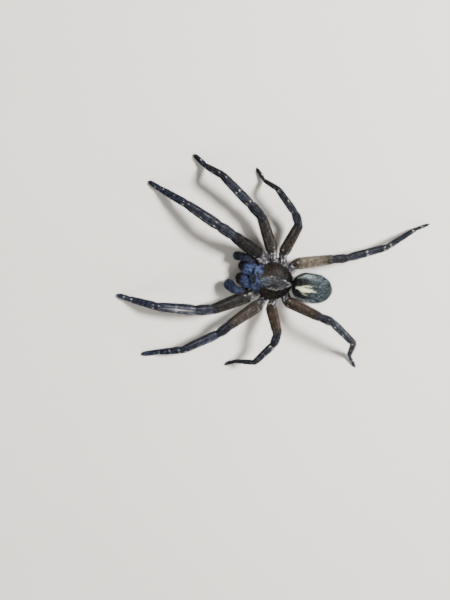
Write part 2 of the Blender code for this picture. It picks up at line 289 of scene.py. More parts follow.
@dataclass
class Frame:
    """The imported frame: where its thorax lies, and how pieces are put in its place."""

    shift: Array

    @classmethod
    def load(cls) -> "Frame":
        """Loads the frame and finds the thorax from the carapace node.

        Returns:
            The frame.
        """
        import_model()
        low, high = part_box("carapace")
        front = Carapace.sections[0][0] * MM
        return cls(np.array(((low.x + high.x) / 2.0, low.y - front, 0.0)) / MM)

    def world(self, points: Array) -> Array:
        """Takes points from millimetres round the thorax to the frame's metres."""
        return (points + self.shift) * MM

    def piece(self, name: str, shape: Shape, finish: bpy.types.Material, colours: Array, slot: str,
              replaces: tuple[str, ...] = ()) -> bpy.types.Mesh:
        """Makes an object that rides on the animal's one body.

        Args:
            name: The piece's name.
            shape: Its mesh in millimetres.
            finish: Its material.
            colours: The linear colour of each point, which the finish reads as "marking".
            slot: The record's material slot. It is not used.
            replaces: CAD nodes that it stands for.

        Returns:
            Its mesh.
        """
        item = bpy.data.objects.new(name, shape.mesh(name, self.world(shape.points)))
        bpy.context.scene.collection.objects.link(item)
        item.data.materials.append(finish)
        layer = item.data.color_attributes.new("marking", "FLOAT_COLOR", "POINT")
        rows = np.hstack((np.clip(colours, 0.0, 1.0), np.ones((len(colours), 1))))
        layer.data.foreach_set("color", rows.astype(np.float32).ravel())
        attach(item, "root")
        if replaces:
            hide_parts(*replaces)
        LOG.info("%s: %d faces", name, sum(len(faces) for faces in shape.faces))
        return item.data


@dataclass
class Tube:
    """A swelling of the body as rings along a line, which can say where a point lies on it.

    The angle round it is 0 at the level side, a quarter turn on top and minus that beneath.
    """

    region: Region
    line: Array
    sizes: Array
    pair: int = 0
    side: int = 1
    sides: int = 22
    axes: Array = field(init=False)
    across: Array = field(init=False)
    above: Array = field(init=False)

    CAP_TURNS = np.linspace(0.06, math.pi / 2, 6)

    def __post_init__(self) -> None:
        """Works out the line's directions."""
        self.axes = unit(np.gradient(self.line, axis=0))
        self.across = unit(np.cross(self.axes, UP))
        self.above = np.cross(self.across, self.axes)

    @classmethod
    def through(cls, region: Region, stations: Array, inset: float, over: Pair = (0.0, 0.0),
                blunt: Pair = (0.7, 0.7), count: int = 22, **facts: int) -> "Tube":
        """Makes a round-ended tube through stations.

        Args:
            region: What kind of surface it is.
            stations: Rows of X, Y, Z, half width and, if it differs, half height.
            inset: How far inside the stations' sizes the skin lies.
            over: How far it runs past the first and last station.
            blunt: Length of each rounded end, as a share of the radius there.
            count: Rings between the rounded ends.
            facts: The tube's pair, side or number of sides.

        Returns:
            The tube.
        """
        rows = np.array(stations, float)
        if rows.shape[1] == 4:
            rows = np.hstack((rows, rows[:, 3:]))
        rows[:, 3:] -= inset
        knots = np.r_[0.0, np.cumsum(np.linalg.norm(np.diff(rows[:, :3], axis=0), axis=1))]
        first, last = unit(rows[1, :3] - rows[0, :3]), unit(rows[-1, :3] - rows[-2, :3])
        low, high = -over[0], knots[-1] + over[1]
        caps = (blunt[0] * rows[0, 3], blunt[1] * rows[-1, 3])
        drawn_in, swell = 1 - np.cos(cls.CAP_TURNS), np.sin(cls.CAP_TURNS)
        inner = np.linspace(low + caps[0], high - caps[1], count)[1:-1]
        at = np.r_[low + caps[0] * drawn_in, inner, (high - caps[1] * drawn_in)[::-1]]
        rounding = np.r_[swell, np.ones(count - 2), swell[::-1]]
        held = flowing(np.clip(at, 0.0, knots[-1]), knots, rows)
        line = held[:, :3] + np.minimum(at, 0.0)[:, None] * first
        line += np.maximum(at - knots[-1], 0.0)[:, None] * last
        return cls(region, line, held[:, 3:] * rounding[:, None], **facts)

    @property
    def steps(self) -> Array:
        """How far apart the rings are."""
        return np.linalg.norm(np.diff(self.line, axis=0), axis=1)

    @property
    def length(self) -> float:
        """The line's length."""
        return float(self.steps.sum())

    def shape(self) -> Shape:
        """The tube's closed mesh.

        Returns:
            Rings of four-cornered faces with a fan at each end.
        """
        count, n = len(self.line), self.sides
        turns = 2.0 * math.pi * np.arange(n) / n
        wide = self.sizes[:, :1, None] * np.cos(turns)[None, :, None] * self.across[:, None, :]
        high = self.sizes[:, 1:, None] * np.sin(turns)[None, :, None] * self.above[:, None, :]
        rings = (self.line[:, None, :] + wide + high).reshape(-1, 3)
        i, j = np.meshgrid(np.arange(count - 1) * n, np.arange(n), indexing="ij")
        k = (j + 1) % n
        quads = np.stack((i + j, i + n + j, i + n + k, i + k), axis=-1).reshape(-1, 4)
        around, top = np.arange(n), (count - 1) * n
        after = (around + 1) % n
        start, end = np.full(n, count * n), np.full(n, count * n + 1)
        fans = np.vstack((np.stack((around, after, start), 1), np.stack((top + after, top + around, end), 1)))
        return Shape(np.vstack((rings, self.line[:1], self.line[-1:])), [quads, fans])

    def locate(self, points: Array) -> "Place":
        """Finds where points lie on the tube.

        Args:
            points: Points near its surface.

        Returns:
            Their places.
        """
        gaps = points[:, None, :] - self.line[None, :, :]
        i = np.argmin((gaps**2).sum(axis=2), axis=1)
        off = points - self.line[i]
        rings = np.r_[0.0, np.cumsum(self.steps)]
        share = np.clip((rings[i] + (off * self.axes[i]).sum(axis=1)) / rings[-1], 0.0, 1.0)
        size = np.maximum(self.sizes[i], 0.05)
        turn = np.arctan2((off * self.above[i]).sum(axis=1) / size[:, 1],
                          (off * self.across[i]).sum(axis=1) / size[:, 0])
        return Place(points, share, turn, self.axes[i], self)


@dataclass
class Place:
    """Where points lie on a tube."""

    points: Array
    share: Array
    turn: Array
    axis: Array
    tube: Tube

    @property
    def top(self) -> Array:
        """1 on the upper side, 0 level and -1 beneath."""
        return np.sin(self.turn)

    def stripe(self, degrees: float, reach: float) -> Array:
        """How much points are on two lines along the tube, so many degrees either side of its top."""
        return ridge(np.abs(np.degrees(np.arccos(np.clip(self.top, -1.0, 1.0)))), degrees, reach)

    def streaks(self, wide: float, long: float, seed: int) -> Array:
        """A mottle drawn out along the lie of the hair.

        Args:
            wide: One streak's width in millimetres.
            long: Its length in millimetres.
            seed: Which mottle.

        Returns:
            Values about from -1 to 1.
        """
        if self.tube.region is Region.CARAPACE:
            x, y = self.points[:, 0], self.points[:, 1] - Carapace.hub
            turn, along, size = np.arctan2(x, -y), np.hypot(x, y), 3.0
        else:
            turn, along, size = self.turn, self.share * self.tube.length, self.tube.sizes.max()
        rows = np.stack((along / long, np.cos(turn) * size / wide, np.sin(turn) * size / wide), axis=1)
        return cloud(rows, 1.0, seed + 7 * self.tube.pair + 3 * self.tube.side)


# ---------------------------------------------------------------- flesh
@dataclass(frozen=True)
class LegSizes:
    """The sizes that the left and the right leg of a pair share."""

    # sideways and rearwards
    coxa: Pair
    hip: Pair
    # femur, patella, tibia, metatarsus and tarsus
    lengths: Row
    # coxa, then the same five
    radii: Row


@dataclass
class Leg:
    """One leg from coxa to tarsus, held as in the frame."""

    side: Side
    pair: int
    coat: float = 0.08
    foot_coat: float = 0.05
    heights: Pair = (4.9, 5.5)
    hip_bend: float = 0.74
    tip_share: float = 0.50
    sole_depth: float = 0.12

    PAIRS = {
        1: LegSizes((3.0, -3.3), (6.9, -7.2), (12.7, 5.5, 12.7, 10.4, 4.9),
                    (1.62, 1.95, 1.66, 1.54, 1.20, 0.84)),
        2: LegSizes((3.2, -1.1), (9.0, -3.2), (12.2, 5.4, 13.4, 10.0, 5.5),
                    (1.47, 1.84, 1.54, 1.36, 1.06, 0.80)),
        3: LegSizes((3.2, 1.2), (8.9, 0.4), (10.9, 4.6, 9.7, 9.1, 4.6),
                    (1.44, 1.70, 1.34, 1.08, 0.76, 0.58)),
        4: LegSizes((2.8, 3.4), (6.3, 5.0), (13.5, 5.1, 13.7, 13.0, 5.6),
                    (1.56, 1.72, 1.38, 1.18, 0.86, 0.52)),
    }
    # turn of femur, patella, tibia, metatarsus and tarsus; lift of the same but the metatarsus
    POSES = {
        (Side.LEFT, 1): ((299, 280, 279, 276, 270), (15, 12, -10, -21)),
        (Side.LEFT, 2): ((311, 329, 309, 298, 292), (23, -27, -6, -11)),
        (Side.LEFT, 3): ((24, 0, 332, 300, 312), (51, -24, -16, -32)),
        (Side.LEFT, 4): ((86, 92, 54, 16, 39), (43, 46, -26, -18)),
        (Side.RIGHT, 1): ((240, 246, 251, 257, 252), (29, 8, -23, -17)),
        (Side.RIGHT, 2): ((210, 233, 235, 264, 240), (12, 6, 11, -24)),
        (Side.RIGHT, 3): ((167, 211, 228, 262, 224), (14, 22, 2, -22)),
        (Side.RIGHT, 4): ((119, 101, 114, 124, 117), (35, -20, -11, -21)),
    }
    # share of the length and of the radius, from the body outwards
    SWELLS = {
        Region.FEMUR: ((0.0, 0.93), (0.14, 1.04), (0.45, 1.0), (0.80, 0.92), (1.0, 0.84)),
        Region.PATELLA: ((0.0, 0.82), (0.30, 0.98), (0.75, 1.0), (1.0, 0.84)),
        Region.TIBIA: ((0.0, 0.88), (0.18, 1.06), (0.55, 1.0), (0.85, 0.92), (1.0, 0.80)),
        Region.METATARSUS: ((0.0, 0.86), (0.13, 1.06), (0.50, 0.98), (0.85, 0.88), (1.0, 0.82)),
        Region.TARSUS: ((0.0, 0.90), (0.22, 1.0), (0.60, 0.98), (0.90, 0.82), (1.0, 0.66)),
    }

    @property
    def sizes(self) -> LegSizes:
        """The sizes of this pair."""
        return self.PAIRS[self.pair]

    @property
    def word(self) -> str:
        """The leg's name in node and piece names."""
        return f"{self.side.word}_{self.pair}"

    @property
    def nodes(self) -> tuple[str, ...]:
        """The CAD nodes of this leg."""
        return tuple(f"{part}_{self.word}" for part in ("coxa", "femur", "patella", "tibia", "foot"))

    def joints(self) -> Array:
        """Works out where the leg's joints are.

        Returns:
            Seven points: coxa's inner end, hip, knee, patella's end, tibia's end, ankle and tip.
        """
        sizes, (turns, lifts) = self.sizes, self.POSES[self.side, self.pair]
        points = [np.array((self.side.value * x, y, z))
                  for (x, y), z in zip((sizes.coxa, sizes.hip), self.heights)]
        for length, turn, lift in zip(sizes.lengths[:3], turns, lifts):
            points.append(points[-1] + length * bearing(turn, lift))
        toe = sizes.lengths[4] * bearing(turns[4], lifts[3])
        tip = self.tip_share * sizes.radii[5] * math.cos(math.radians(lifts[3])) - self.sole_depth
        slope = -math.degrees(math.asin((points[-1][2] + toe[2] - tip) / sizes.lengths[3]))
        points.append(points[-1] + sizes.lengths[3] * bearing(turns[3], slope))
        points.append(points[-1] + toe)
        return np.array(points)

    def tubes(self) -> list[Tube]:
        """Makes the leg's segments, with a soft knuckle at each joint.

        Returns:
            The tubes from the body outwards.
        """
        points, radii = self.joints(), self.sizes.radii
        facts = {"pair": self.pair, "side": self.side.value}
        bend = points[0] + (points[1] - points[0]) * self.hip_bend
        coxa = [(*points[0], radii[0] * 0.74), (*(points[0] * 0.6 + bend * 0.4), radii[0]),
                (*bend, radii[0] * 0.95)]
        trochanter = [(*bend, radii[0] * 0.92), (*points[1], radii[0] * 0.99)]
        made = [Tube.through(Region.COXA, coxa, self.coat, (0.0, 0.25), (0.5, 0.5), **facts),
                Tube.through(Region.COXA, trochanter, self.coat, (0.2, 0.45), (0.5, 0.6), 8, **facts)]
        for i, (region, swells) in enumerate(self.SWELLS.items(), start=1):
            start, end, tarsus = points[i], points[i + 1], region is Region.TARSUS
            rows = [(*(start + (end - start) * share), radii[i] * swell) for share, swell in swells]
            inset = self.coat if i < 4 else self.foot_coat + 0.03 * (5 - i)
            over = (0.30 * radii[i], -0.05 if tarsus else 0.26 * radii[i])
            made.append(Tube.through(region, rows, inset, over, (0.60, 1.0 if tarsus else 0.55), **facts))
            size = 0.86 * min(radii[i - 1], radii[i])
            half = 0.12 * size * unit(end - start)
            knuckle = [(*(start - half), size), (*(start + half), size)]
            made.append(Tube.through(Region.MEMBRANE, knuckle, self.coat, (0.8 * size,) * 2, (1.0, 1.0), 6,
                                     **facts))
        return made


@dataclass
class Palp:
    """One short feeler beside the jaws, with the mouth lobe that it springs from."""

    side: Side
    coat: float = 0.11
    # X, Y, Z and radius on the left side
    lobe: Rows = ((1.95, -5.35, 4.20, 0.82), (3.10, -6.75, 4.05, 0.98), (4.20, -7.95, 4.05, 0.90))

    # knee and foot
    REACH = {
        Side.LEFT: ((4.90, -9.05, 5.40, 0.76), (5.35, -10.50, 7.10, 1.02), (5.55, -12.00, 6.95, 1.36),
                    (5.28, -13.30, 5.60, 1.70), (4.88, -14.20, 4.25, 1.70), (4.60, -14.80, 3.05, 1.20)),
        Side.RIGHT: ((4.90, -9.05, 5.40, 0.76), (5.35, -10.40, 7.15, 1.02), (5.55, -11.70, 7.05, 1.26),
                     (5.30, -12.80, 5.75, 1.44), (4.90, -13.55, 4.20, 1.42), (4.60, -13.95, 2.85, 1.00)),
    }
    # first and last station, and the radius at each of the two as a share of the outline's
    JOINTS = ((0, 3, 1.0, 1.0), (2, 5, 0.94, 1.0), (4, 7, 0.96, 0.93), (6, 9, 0.95, 1.0))
    # how far each joint runs over its ends, how blunt they are, and its rings
    ENDS = (((0.5, 0.2), (0.6, 0.5), 16), ((0.2, 0.35), (0.5, 0.6), 18), ((0.30, 0.30), (0.6, 0.5), 18),
            ((0.35, 0.62), (0.6, 1.05), 22))

    def tubes(self) -> list[Tube]:
        """Makes the palp's joints.

        Returns:
            Mouth lobe, femur, patella with tibia, and tarsus.
        """
        outline, made = self.side.mirror(self.lobe + self.REACH[self.side]), []
        for (first, last, root, tip), ends in zip(self.JOINTS, self.ENDS):
            rows = outline[first:last].copy()
            rows[0, 3] *= root
            rows[-1, 3] *= tip
            made.append(Tube.through(Region.PALP, rows, self.coat, *ends, side=self.side.value))
        return made


@dataclass
class Jaw:
    """One chelicera: a stout base that bulges forwards and hangs down to the fang."""

    side: Side
    coat: float = 0.09
    # X, Y, Z and radius on the left side
    path: Rows = ((2.15, -6.90, 6.60, 1.05), (2.15, -8.25, 6.90, 1.80), (2.15, -9.60, 6.26, 2.02),
                  (2.15, -10.45, 4.98, 2.02), (2.10, -10.85, 3.95, 1.84), (2.05, -10.97, 2.95, 1.48))

    def tubes(self) -> list[Tube]:
        """Makes the jaw, one tube from the head down to the fang."""
        return [Tube.through(Region.JAW, self.side.mirror(self.path), self.coat, (0.35, 0.88), (0.6, 0.62),
                             30, side=self.side.value, sides=30)]


@dataclass
class Trunk:
    """The underside between the legs: breastplate, lip, the flesh above them and the waist."""

    coat: float = 0.10
    lip_coat: float = 0.05
    # Y, half width, top, bottom
    sternum: Rows = ((-5.60, 0.50, 5.60, 4.30), (-5.00, 0.95, 6.30, 3.90), (-3.80, 1.85, 6.60, 3.80),
                     (-1.50, 2.60, 6.80, 3.70), (1.00, 2.70, 6.80, 3.70), (3.00, 2.10, 6.80, 3.80),
                     (4.10, 1.25, 6.60, 4.20), (4.60, 0.80, 6.40, 4.90))
    pleura: Rows = ((-7.00, 2.60, 8.80, 5.60), (-5.00, 3.70, 9.00, 4.80), (-1.50, 4.60, 9.00, 4.70),
                    (1.00, 4.80, 9.00, 4.70), (3.20, 3.60, 8.60, 4.90), (4.50, 1.70, 7.60, 5.20))
    face: Rows = ((-8.50, 2.10, 8.60, 7.10), (-8.05, 2.80, 9.00, 6.80), (-7.50, 3.00, 9.00, 6.40),
                  (-6.40, 3.10, 9.00, 5.60))
    # X, Y, Z, half width and half height
    lip: Rows = ((0.0, -5.2, 4.30, 0.75, 0.45), (0.0, -6.0, 4.15, 0.72, 0.42), (0.0, -6.8, 4.05, 0.50, 0.34))
    waist: Rows = ((0.0, 3.9, 5.85, 0.70), (0.0, 5.35, 5.70, 0.60), (0.0, 6.60, 5.70, 0.80))

    @staticmethod
    def stations(sections: Rows) -> Array:
        """Turns sections across the body into rows of X, Y, Z, half width and half height."""
        y, half, top, bottom = np.array(sections).T
        return np.stack((0 * y, y, (top + bottom) / 2, half, (top - bottom) / 2), axis=1)

    def tubes(self) -> list[Tube]:
        """Makes the underside.

        Returns:
            Breastplate, flesh, face under the eyes, lip and waist.
        """
        return [
            Tube.through(Region.STERNUM, self.stations(self.sternum), self.coat, sides=36),
            Tube.through(Region.MEMBRANE, self.stations(self.pleura), self.coat, sides=40),
            Tube.through(Region.JAW, self.stations(self.face), self.coat, blunt=(0.15, 0.2), count=12,
                         sides=32),
            Tube.through(Region.STERNUM, self.lip, self.lip_coat, count=10),
            Tube.through(Region.MEMBRANE, self.waist, self.coat, count=10),
        ]


@dataclass
class Abdomen:
    """The egg-shaped abdomen and the spinnerets under its end."""

    front: float = 5.2
    length: float = 13.0
    half_width: float = 4.8
    half_height: float = 4.25
    axis_heights: Pair = (8.45, 7.15)
    widest: float = 0.52
    bluntness: Pair = (3.4, 2.1)
    coat: float = 0.14
    # X, Y, Z and radius of the two spinnerets on the left
    spinnerets: tuple[Rows, ...] = (
        ((0.52, 16.45, 3.75, 0.50), (0.46, 17.00, 2.72, 0.40), (0.40, 17.15, 2.45, 0.24)),
        ((0.55, 16.95, 4.20, 0.46), (0.62, 17.55, 3.30, 0.34), (0.60, 17.80, 2.85, 0.18)))

    def plumpness(self, share: Array) -> Array:
        """How full it is along its length.

        Args:
            share: Shares of the length from the front.

        Returns:
            1 at its widest place and 0 at each end.
        """
        before = np.abs((self.widest - share) / self.widest) ** self.bluntness[0]
        behind = np.abs((share - self.widest) / (1.0 - self.widest)) ** self.bluntness[1]
        return np.sqrt(np.clip(1.0 - np.where(share < self.widest, before, behind), 0.0, 1.0))

    def tubes(self) -> list[Tube]:
        """Makes the abdomen and its spinnerets.

        Returns:
            The body of it, then four spinnerets.
        """
        share = 0.5 - 0.5 * np.cos(np.linspace(0.06, math.pi - 0.06, 60))
        height = self.axis_heights[0] + (self.axis_heights[1] - self.axis_heights[0]) * share
        at = self.front + self.coat + (self.length - 2.0 * self.coat) * share
        halves = np.array((self.half_width, self.half_height)) - self.coat
        made = [Tube(Region.ABDOMEN, np.stack((0 * share, at, height), axis=1),
                     halves * self.plumpness(share)[:, None], sides=64)]
        for side in Side:
            made += [Tube.through(Region.SPINNERET, side.mirror(path), 0.04, (0.4, 0.0), (0.5, 0.9), 12,
                                  side=side.value) for path in self.spinnerets]
        return made


@dataclass
class Carapace:
    """The shell over head and thorax: an arch with a furrow where the thorax muscles hold."""

    # Y, half width, top, bottom
    sections: Rows = ((-8.05, 2.70, 9.75, 8.45), (-7.70, 3.45, 10.50, 8.40), (-6.80, 3.98, 11.10, 8.10),
                      (-5.20, 4.55, 11.42, 7.20), (-3.20, 5.65, 11.48, 7.10), (-1.20, 6.20, 11.38, 7.10),
                      (0.80, 5.88, 11.12, 7.10), (2.60, 4.90, 10.50, 7.10), (3.95, 3.45, 9.60, 7.10),
                      (4.75, 2.05, 8.62, 7.12), (5.12, 1.00, 7.95, 7.25))
    squareness: float = 2.3
    coat: float = 0.08
    furrow: Pair = (0.6, 2.8)
    furrow_depth: float = 0.30
    # the grooves run out from the hub, each at a turn in degrees from straight ahead
    hub: float = 1.4
    grooves: Row = (38, 72, 104, 136)
    groove_depth: float = 0.12
    rows: int = 130
    arch: int = 110

    def locate(self, points: Array) -> Place:
        """Finds where points lie on the shell.

        Args:
            points: Points near it.

        Returns:
            Their places; their axis is the lie of its hair.
        """
        y, half, _, bottom = np.array(self.sections).T
        share = np.clip((points[:, 1] - y[0]) / (y[-1] - y[0]), 0.0, 1.0)
        turn = np.arctan2(points[:, 2] - np.interp(points[:, 1], y, bottom), points[:, 0])
        lie = points - np.array((0.0, -6.5, 9.0))
        lie[:, 1] = np.maximum(lie[:, 1], 0.8) + 2.5
        lie[:, 2] = -6.0 * ease(points[:, 1], -7.75, -7.95)
        tube = Tube(Region.CARAPACE, np.stack((0 * y, y, bottom), 1), np.stack((half, half), 1))
        return Place(points, share, turn, unit(lie), tube)

    def shape(self) -> Shape:
        """Makes the shell's mesh.

        Returns:
            An arch over a closed flat base.
        """
        y, half, top, bottom = np.array(self.sections).T
        count, n = self.rows, self.arch
        gathered = 0.5 - 0.5 * np.cos(np.linspace(0.0, math.pi, count))
        even = np.linspace(0, 1, count)
        at = y[0] + self.coat + (y[-1] - y[0] - 2 * self.coat) * (0.45 * gathered + 0.55 * even)
        half, top, bottom = flowing(at, y, np.stack((half - self.coat, top - self.coat, bottom), 1)).T
        turn = np.linspace(0.0, math.pi, n)
        wide = np.sign(np.cos(turn)) * np.abs(np.cos(turn)) ** (2 / self.squareness)
        high = np.sin(turn) ** (2 / self.squareness)
        tuck = 1.0 - 0.05 * ridge(high, 0.0, 0.12)
        x = half[:, None] * (wide * tuck)[None, :]
        z = bottom[:, None] + (top - bottom)[:, None] * high[None, :]
        points = np.stack((x, np.broadcast_to(at[:, None], x.shape), z), axis=-1).reshape(-1, 3)
        points[:, 2] -= self.relief(points)
        i, j = np.meshgrid(np.arange(count - 1) * n, np.arange(n - 1), indexing="ij")
        quads = np.stack((i + n + j, i + n + j + 1, i + j + 1, i + j), axis=-1).reshape(-1, 4)
        k = np.arange(n // 2 - 1)
        face = np.stack((n - 1 - k, n - 2 - k, k + 1, k), 1)
        left = np.arange(count - 1) * n
        right = left + n - 1
        base = np.stack((right, right + n, left + n, left), 1)
        back = (np.arange(n)[::-1] + (count - 1) * n)[None, :]
        return Shape(points, [np.vstack((quads, face)), base, back])

    def relief(self, points: Array) -> Array:
        """How deep the furrow and the shallow grooves that run out from it are.

        Args:
            points: Points of the smooth arch.

        Returns:
            A depth for each point.
        """
        x, y = np.abs(points[:, 0]), points[:, 1]
        start, end = self.furrow
        furrow = ridge(x, 0.0, 0.16) * ease(y, start - 0.5, start) * ease(y, end + 0.6, end)
        turn, reach = np.degrees(np.arctan2(x, -(y - self.hub))), np.hypot(x, y - self.hub)
        grooves = sum(ridge(turn, middle, 7.0) for middle in self.grooves)
        grooves *= ease(reach, 0.5, 1.6) * ease(reach, 5.4, 3.2)
        return self.furrow_depth * furrow + self.groove_depth * grooves


# ---------------------------------------------------------------- markings
class Hue:
    """The animal's colours, from dark shell and hair to the pale edges."""

    SHELL = linear("#19130d")
    SHELL_OLIVE = linear("#211c15")
    SHELL_BLACK = linear("#080606")
    BAND = linear("#171719")
    BAND_DARK = linear("#0d0b0d")
    BAND_EDGE = linear("#d6d2cc")
    BAND_FRONT = linear("#253337")
    HEAD = linear("#19202d")
    HEAD_PALE = linear("#5f709e")
    HEAD_BLACK = linear("#0a0a0b")
    COXA = linear("#332f35")
    COXA_PALE = linear("#8d8792")
    OLIVE = linear("#1f1c16")
    RUST = linear("#312314")
    MAUVE = linear("#201e21")
    SLATE = linear("#222129")
    NAVY = linear("#151828")
    STEEL = linear("#41485e")
    PALE = linear("#8f9298")
    # painted highlight, sand-grey on the top of the last right femur
    SAND = linear("#8a8371")
    WHITE = linear("#ece9e4")
    MEMBRANE = linear("#2b2622")
    ABDOMEN = linear("#121817")
    ABDOMEN_BLUE = linear("#4e5a61")
    ABDOMEN_BLACK = linear("#070908")
    ABDOMEN_PALE = linear("#85938e")
    CREAM = linear("#eef4c2")
    BELLY = linear("#22201e")
    EYE = linear("#020203")
    EYE_SHEEN = linear("#10181e")
    EYE_RIM = linear("#1c110a")
    FANG_ROOT = linear("#3d1a0c")
    FANG_TIP = linear("#0b0706")
    SPINE = linear("#1b120e")
    CLAW = linear("#130c0a")


@dataclass(frozen=True)
class LeafSide:
    """One side of the cream leaf on the abdomen, in millimetres from its midline and its front."""

    # how far back, and the half width there
    widths: Rows
    rear: float
    # the dark gap that splits it: from where on, and how far out
    split: float
    gap: float


@dataclass
class Markings:
    """Colours each place on the body, for skin and coat alike."""

    band_ends: Pair = (-5.8, 4.80)
    # share of the band's length from its front, and its half width there
    band_halves: Rows = ((0.0, 0.75), (0.06, 1.25), (0.20, 1.70), (0.42, 1.95), (0.60, 1.65), (0.80, 0.95),
                         (0.93, 0.38), (1.0, 0.06))
    scallops: int = 5
    scallop_depth: float = 0.28
    rays: float = 9.0
    leaf_right: LeafSide = LeafSide(((0.3, 0.35), (1.2, 0.50), (2.2, 0.95), (3.2, 1.45),
                                     (4.8, 1.65)), 5.2, 2.7, 0.90)
    leaf_left: LeafSide = LeafSide(((0.3, 0.35), (1.3, 0.45), (2.2, 1.10), (3.2, 1.65),
                                    (4.4, 1.90)), 4.5, 2.2, 1.02)
    # how far back, and the half width there
    midrib: Rows = ((1.2, 0.28), (2.4, 0.42), (4.8, 0.38), (7.0, 0.14))

    # how much the streaks of the hair vary the tone
    STREAKING = {Region.ABDOMEN: 0.30, Region.JAW: 0.50, Region.CARAPACE: 0.45}
    # how light the thigh and the rest of each leg are, partly each leg's own tone and partly painted light:
    # the left legs, on the side away from the key lamp, are made lighter
    TONES = {(-1, 1): (0.40, 1.10), (-1, 2): (1.50, 0.65), (-1, 3): (0.75, 0.52), (-1, 4): (1.90, 0.36),
             (1, 1): (1.08, 1.45), (1, 2): (3.20, 1.20), (1, 3): (2.00, 0.82), (1, 4): (1.70, 0.88)}
    # how brown each pair's thighs are
    BROWNS = {1: 0.15, 2: 0.25, 3: 0.85, 4: 0.85}
    # how steely each palp is, how strong the painted blue-grey highlight on top of its bend is, and how light
    # it is
    PALPS = {-1: (0.12, 0.03, 0.60), 1: (0.20, 0.17, 0.64)}
    # where along each segment its pale spots lie
    SPOTS = {Region.COXA: (0.45, 0.90), Region.FEMUR: (0.05, 0.16), Region.TIBIA: (0.12, 0.48, 0.90),
             Region.METATARSUS: (0.10, 0.45, 0.88), Region.TARSUS: (0.45,)}

    def colour(self, place: Place) -> Array:
        """Finds the colour of each point.

        Args:
            place: Where the points lie.

        Returns:
            One linear colour for each.
        """
        region = place.tube.region
        makers = {Region.CARAPACE: self.carapace, Region.ABDOMEN: self.abdomen, Region.JAW: self.jaw,
                  Region.PALP: self.palp, Region.MEMBRANE: self.membrane, Region.COXA: self.hip,
                  Region.STERNUM: self.hip, Region.SPINNERET: self.hip, Region.FEMUR: self.thigh,
                  Region.PATELLA: self.knee, Region.TIBIA: self.shin}
        light = np.exp(self.STREAKING.get(region, 0.40) * place.streaks(0.34, 1.5, 41))
        return makers.get(region, self.foot)(place) * np.clip(light, 0.3, 3.2)[:, None]

    def carapace(self, place: Place) -> Array:
        """Dark flanks with black rays, round a lens-shaped band with a scalloped pale edge.

        Args:
            place: Where the points lie.

        Returns:
            Their colours.
        """
        p = place.points
        x, y = np.abs(p[:, 0] + 0.10 * cloud(p, 0.8, 3)), p[:, 1]
        low, high = self.band_ends
        t = (y - low) / (high - low)
        half = flowing(np.clip(t, 0.0, 1.0), *np.array(self.band_halves).T)
        scallops = self.scallop_depth * np.abs(np.sin(self.scallops * math.pi * t)) * half / 2.0
        off = x - half - scallops - 0.10 * cloud(p, 0.5, 19)
        within = ease(t, -0.02, 0.04) * ease(t, 1.0, 0.98)
        edge = x / through_knots(y, [section[:2] for section in Carapace.sections])
        rays = ease(np.cos(self.rays * np.arctan2(x, Carapace.hub - y)), 0.1, 1.0)
        right = 0.55 * ridge(t, 0.36, 0.08) + 0.85 * ease(t, 0.60, 0.78)
        left = 0.38 * ease(t, 0.20, 0.34) + 0.50 * ease(t, 0.80, 0.92)
        lit = np.where(p[:, 0] < 0.0, right, left) * (0.8 + 0.9 * cloud(p, 0.4, 6))
        return layers(
            Hue.SHELL,
            (Hue.SHELL_OLIVE, ease(edge, 0.45, 0.95) * 0.8 + 0.20 * ease(y, -1.0, -5.0)
             + 0.20 * cloud(p, 0.9, 4)),
            (Hue.SHELL_BLACK, 0.50 * rays * ease(x, 1.0, 2.5)),
            (Hue.SHELL_BLACK, 0.90 * ridge(off, 0.60, 0.50) * within * ease(t, 0.1, 0.4)),
            (Hue.SHELL_BLACK, 0.90 * ease(y, 0.0, 2.2) * ease(edge, 1.0, 0.85)),
            (self.band(place, x, t, off),
             ease(off, 0.10, -0.20) * within * ease(t + 0.06 * cloud(p, 0.5, 17), -0.02, 0.16)),
            (Hue.BAND_EDGE, ridge(off + 0.05 * cloud(p, 0.3, 43), -0.05, 0.09) * within * lit),
            (Hue.PALE, 0.7 * ease(edge, 0.94, 0.99) * ease(y, -1.5, 1.5) * (0.6 + 0.6 * cloud(p, 0.4, 9))),
            (self.forehead(p, x), 0.9 * ease(y + 0.6 * cloud(p, 1.3, 10), -5.0, -7.0)),
            (Hue.HEAD_BLACK, 0.85 * ease(Eyes.away(p), 0.50, 0.10)))

    @staticmethod
    def band(place: Place, x: Array, t: Array, off: Array) -> Array:
        """The inside of the carapace's band: dark along its middle, with pale flecks and waves.

        Args:
            place: Where the points lie.
            x: How far from the midline.
            t: Share of the band's length.
            off: How far outside its edge.

        Returns:
            Their colours.
        """
        p = place.points
        waves = ease(np.sin(2.0 * math.pi * off / 0.64 + 1.6 * cloud(p, 1.1, 16)), 0.1, 1.0)
        flecks = ease(cloud(p, 0.42, 8), 0.45, 1.0)
        return layers(
            Hue.BAND,
            (Hue.BAND_DARK, 0.95 * ridge(x, 0.4, 0.60) * ease(t, 0.18, 0.4) * ease(t, 0.90, 0.72)
             + 0.6 * cloud(p, 0.45, 5)),
            (Hue.BAND_FRONT, 0.75 * ease(t, 0.36, 0.10)),
            (Hue.PALE, 0.12 * waves + 0.34 * flecks + 0.12 * ease(t, 0.70, 0.90)),
            (Hue.BAND_DARK, 0.90 * ease(place.streaks(0.40, 1.8, 45), 0.15, -0.55)))

    @staticmethod
    def forehead(p: Array, x: Array) -> Array:
        """Blue-grey between and behind the eyes, with black veins and a dark middle.

        Args:
            p: The points.
            x: How far they are from the midline.

        Returns:
            Their colours.
        """
        middle = ease(np.hypot(p[:, 0], 1.4 * (p[:, 1] + 7.1)), 1.8, 0.7)
        return layers(Hue.HEAD,
                      (Hue.HEAD_PALE, 0.34 + 0.30 * cloud(p, 0.50, 7) + 0.22 * ease(x, 1.4, 3.0)),
                      (Hue.HEAD_BLACK, 0.60 * np.maximum(ridge(cloud(p, 0.8, 46), 0.0, 0.13), middle)))

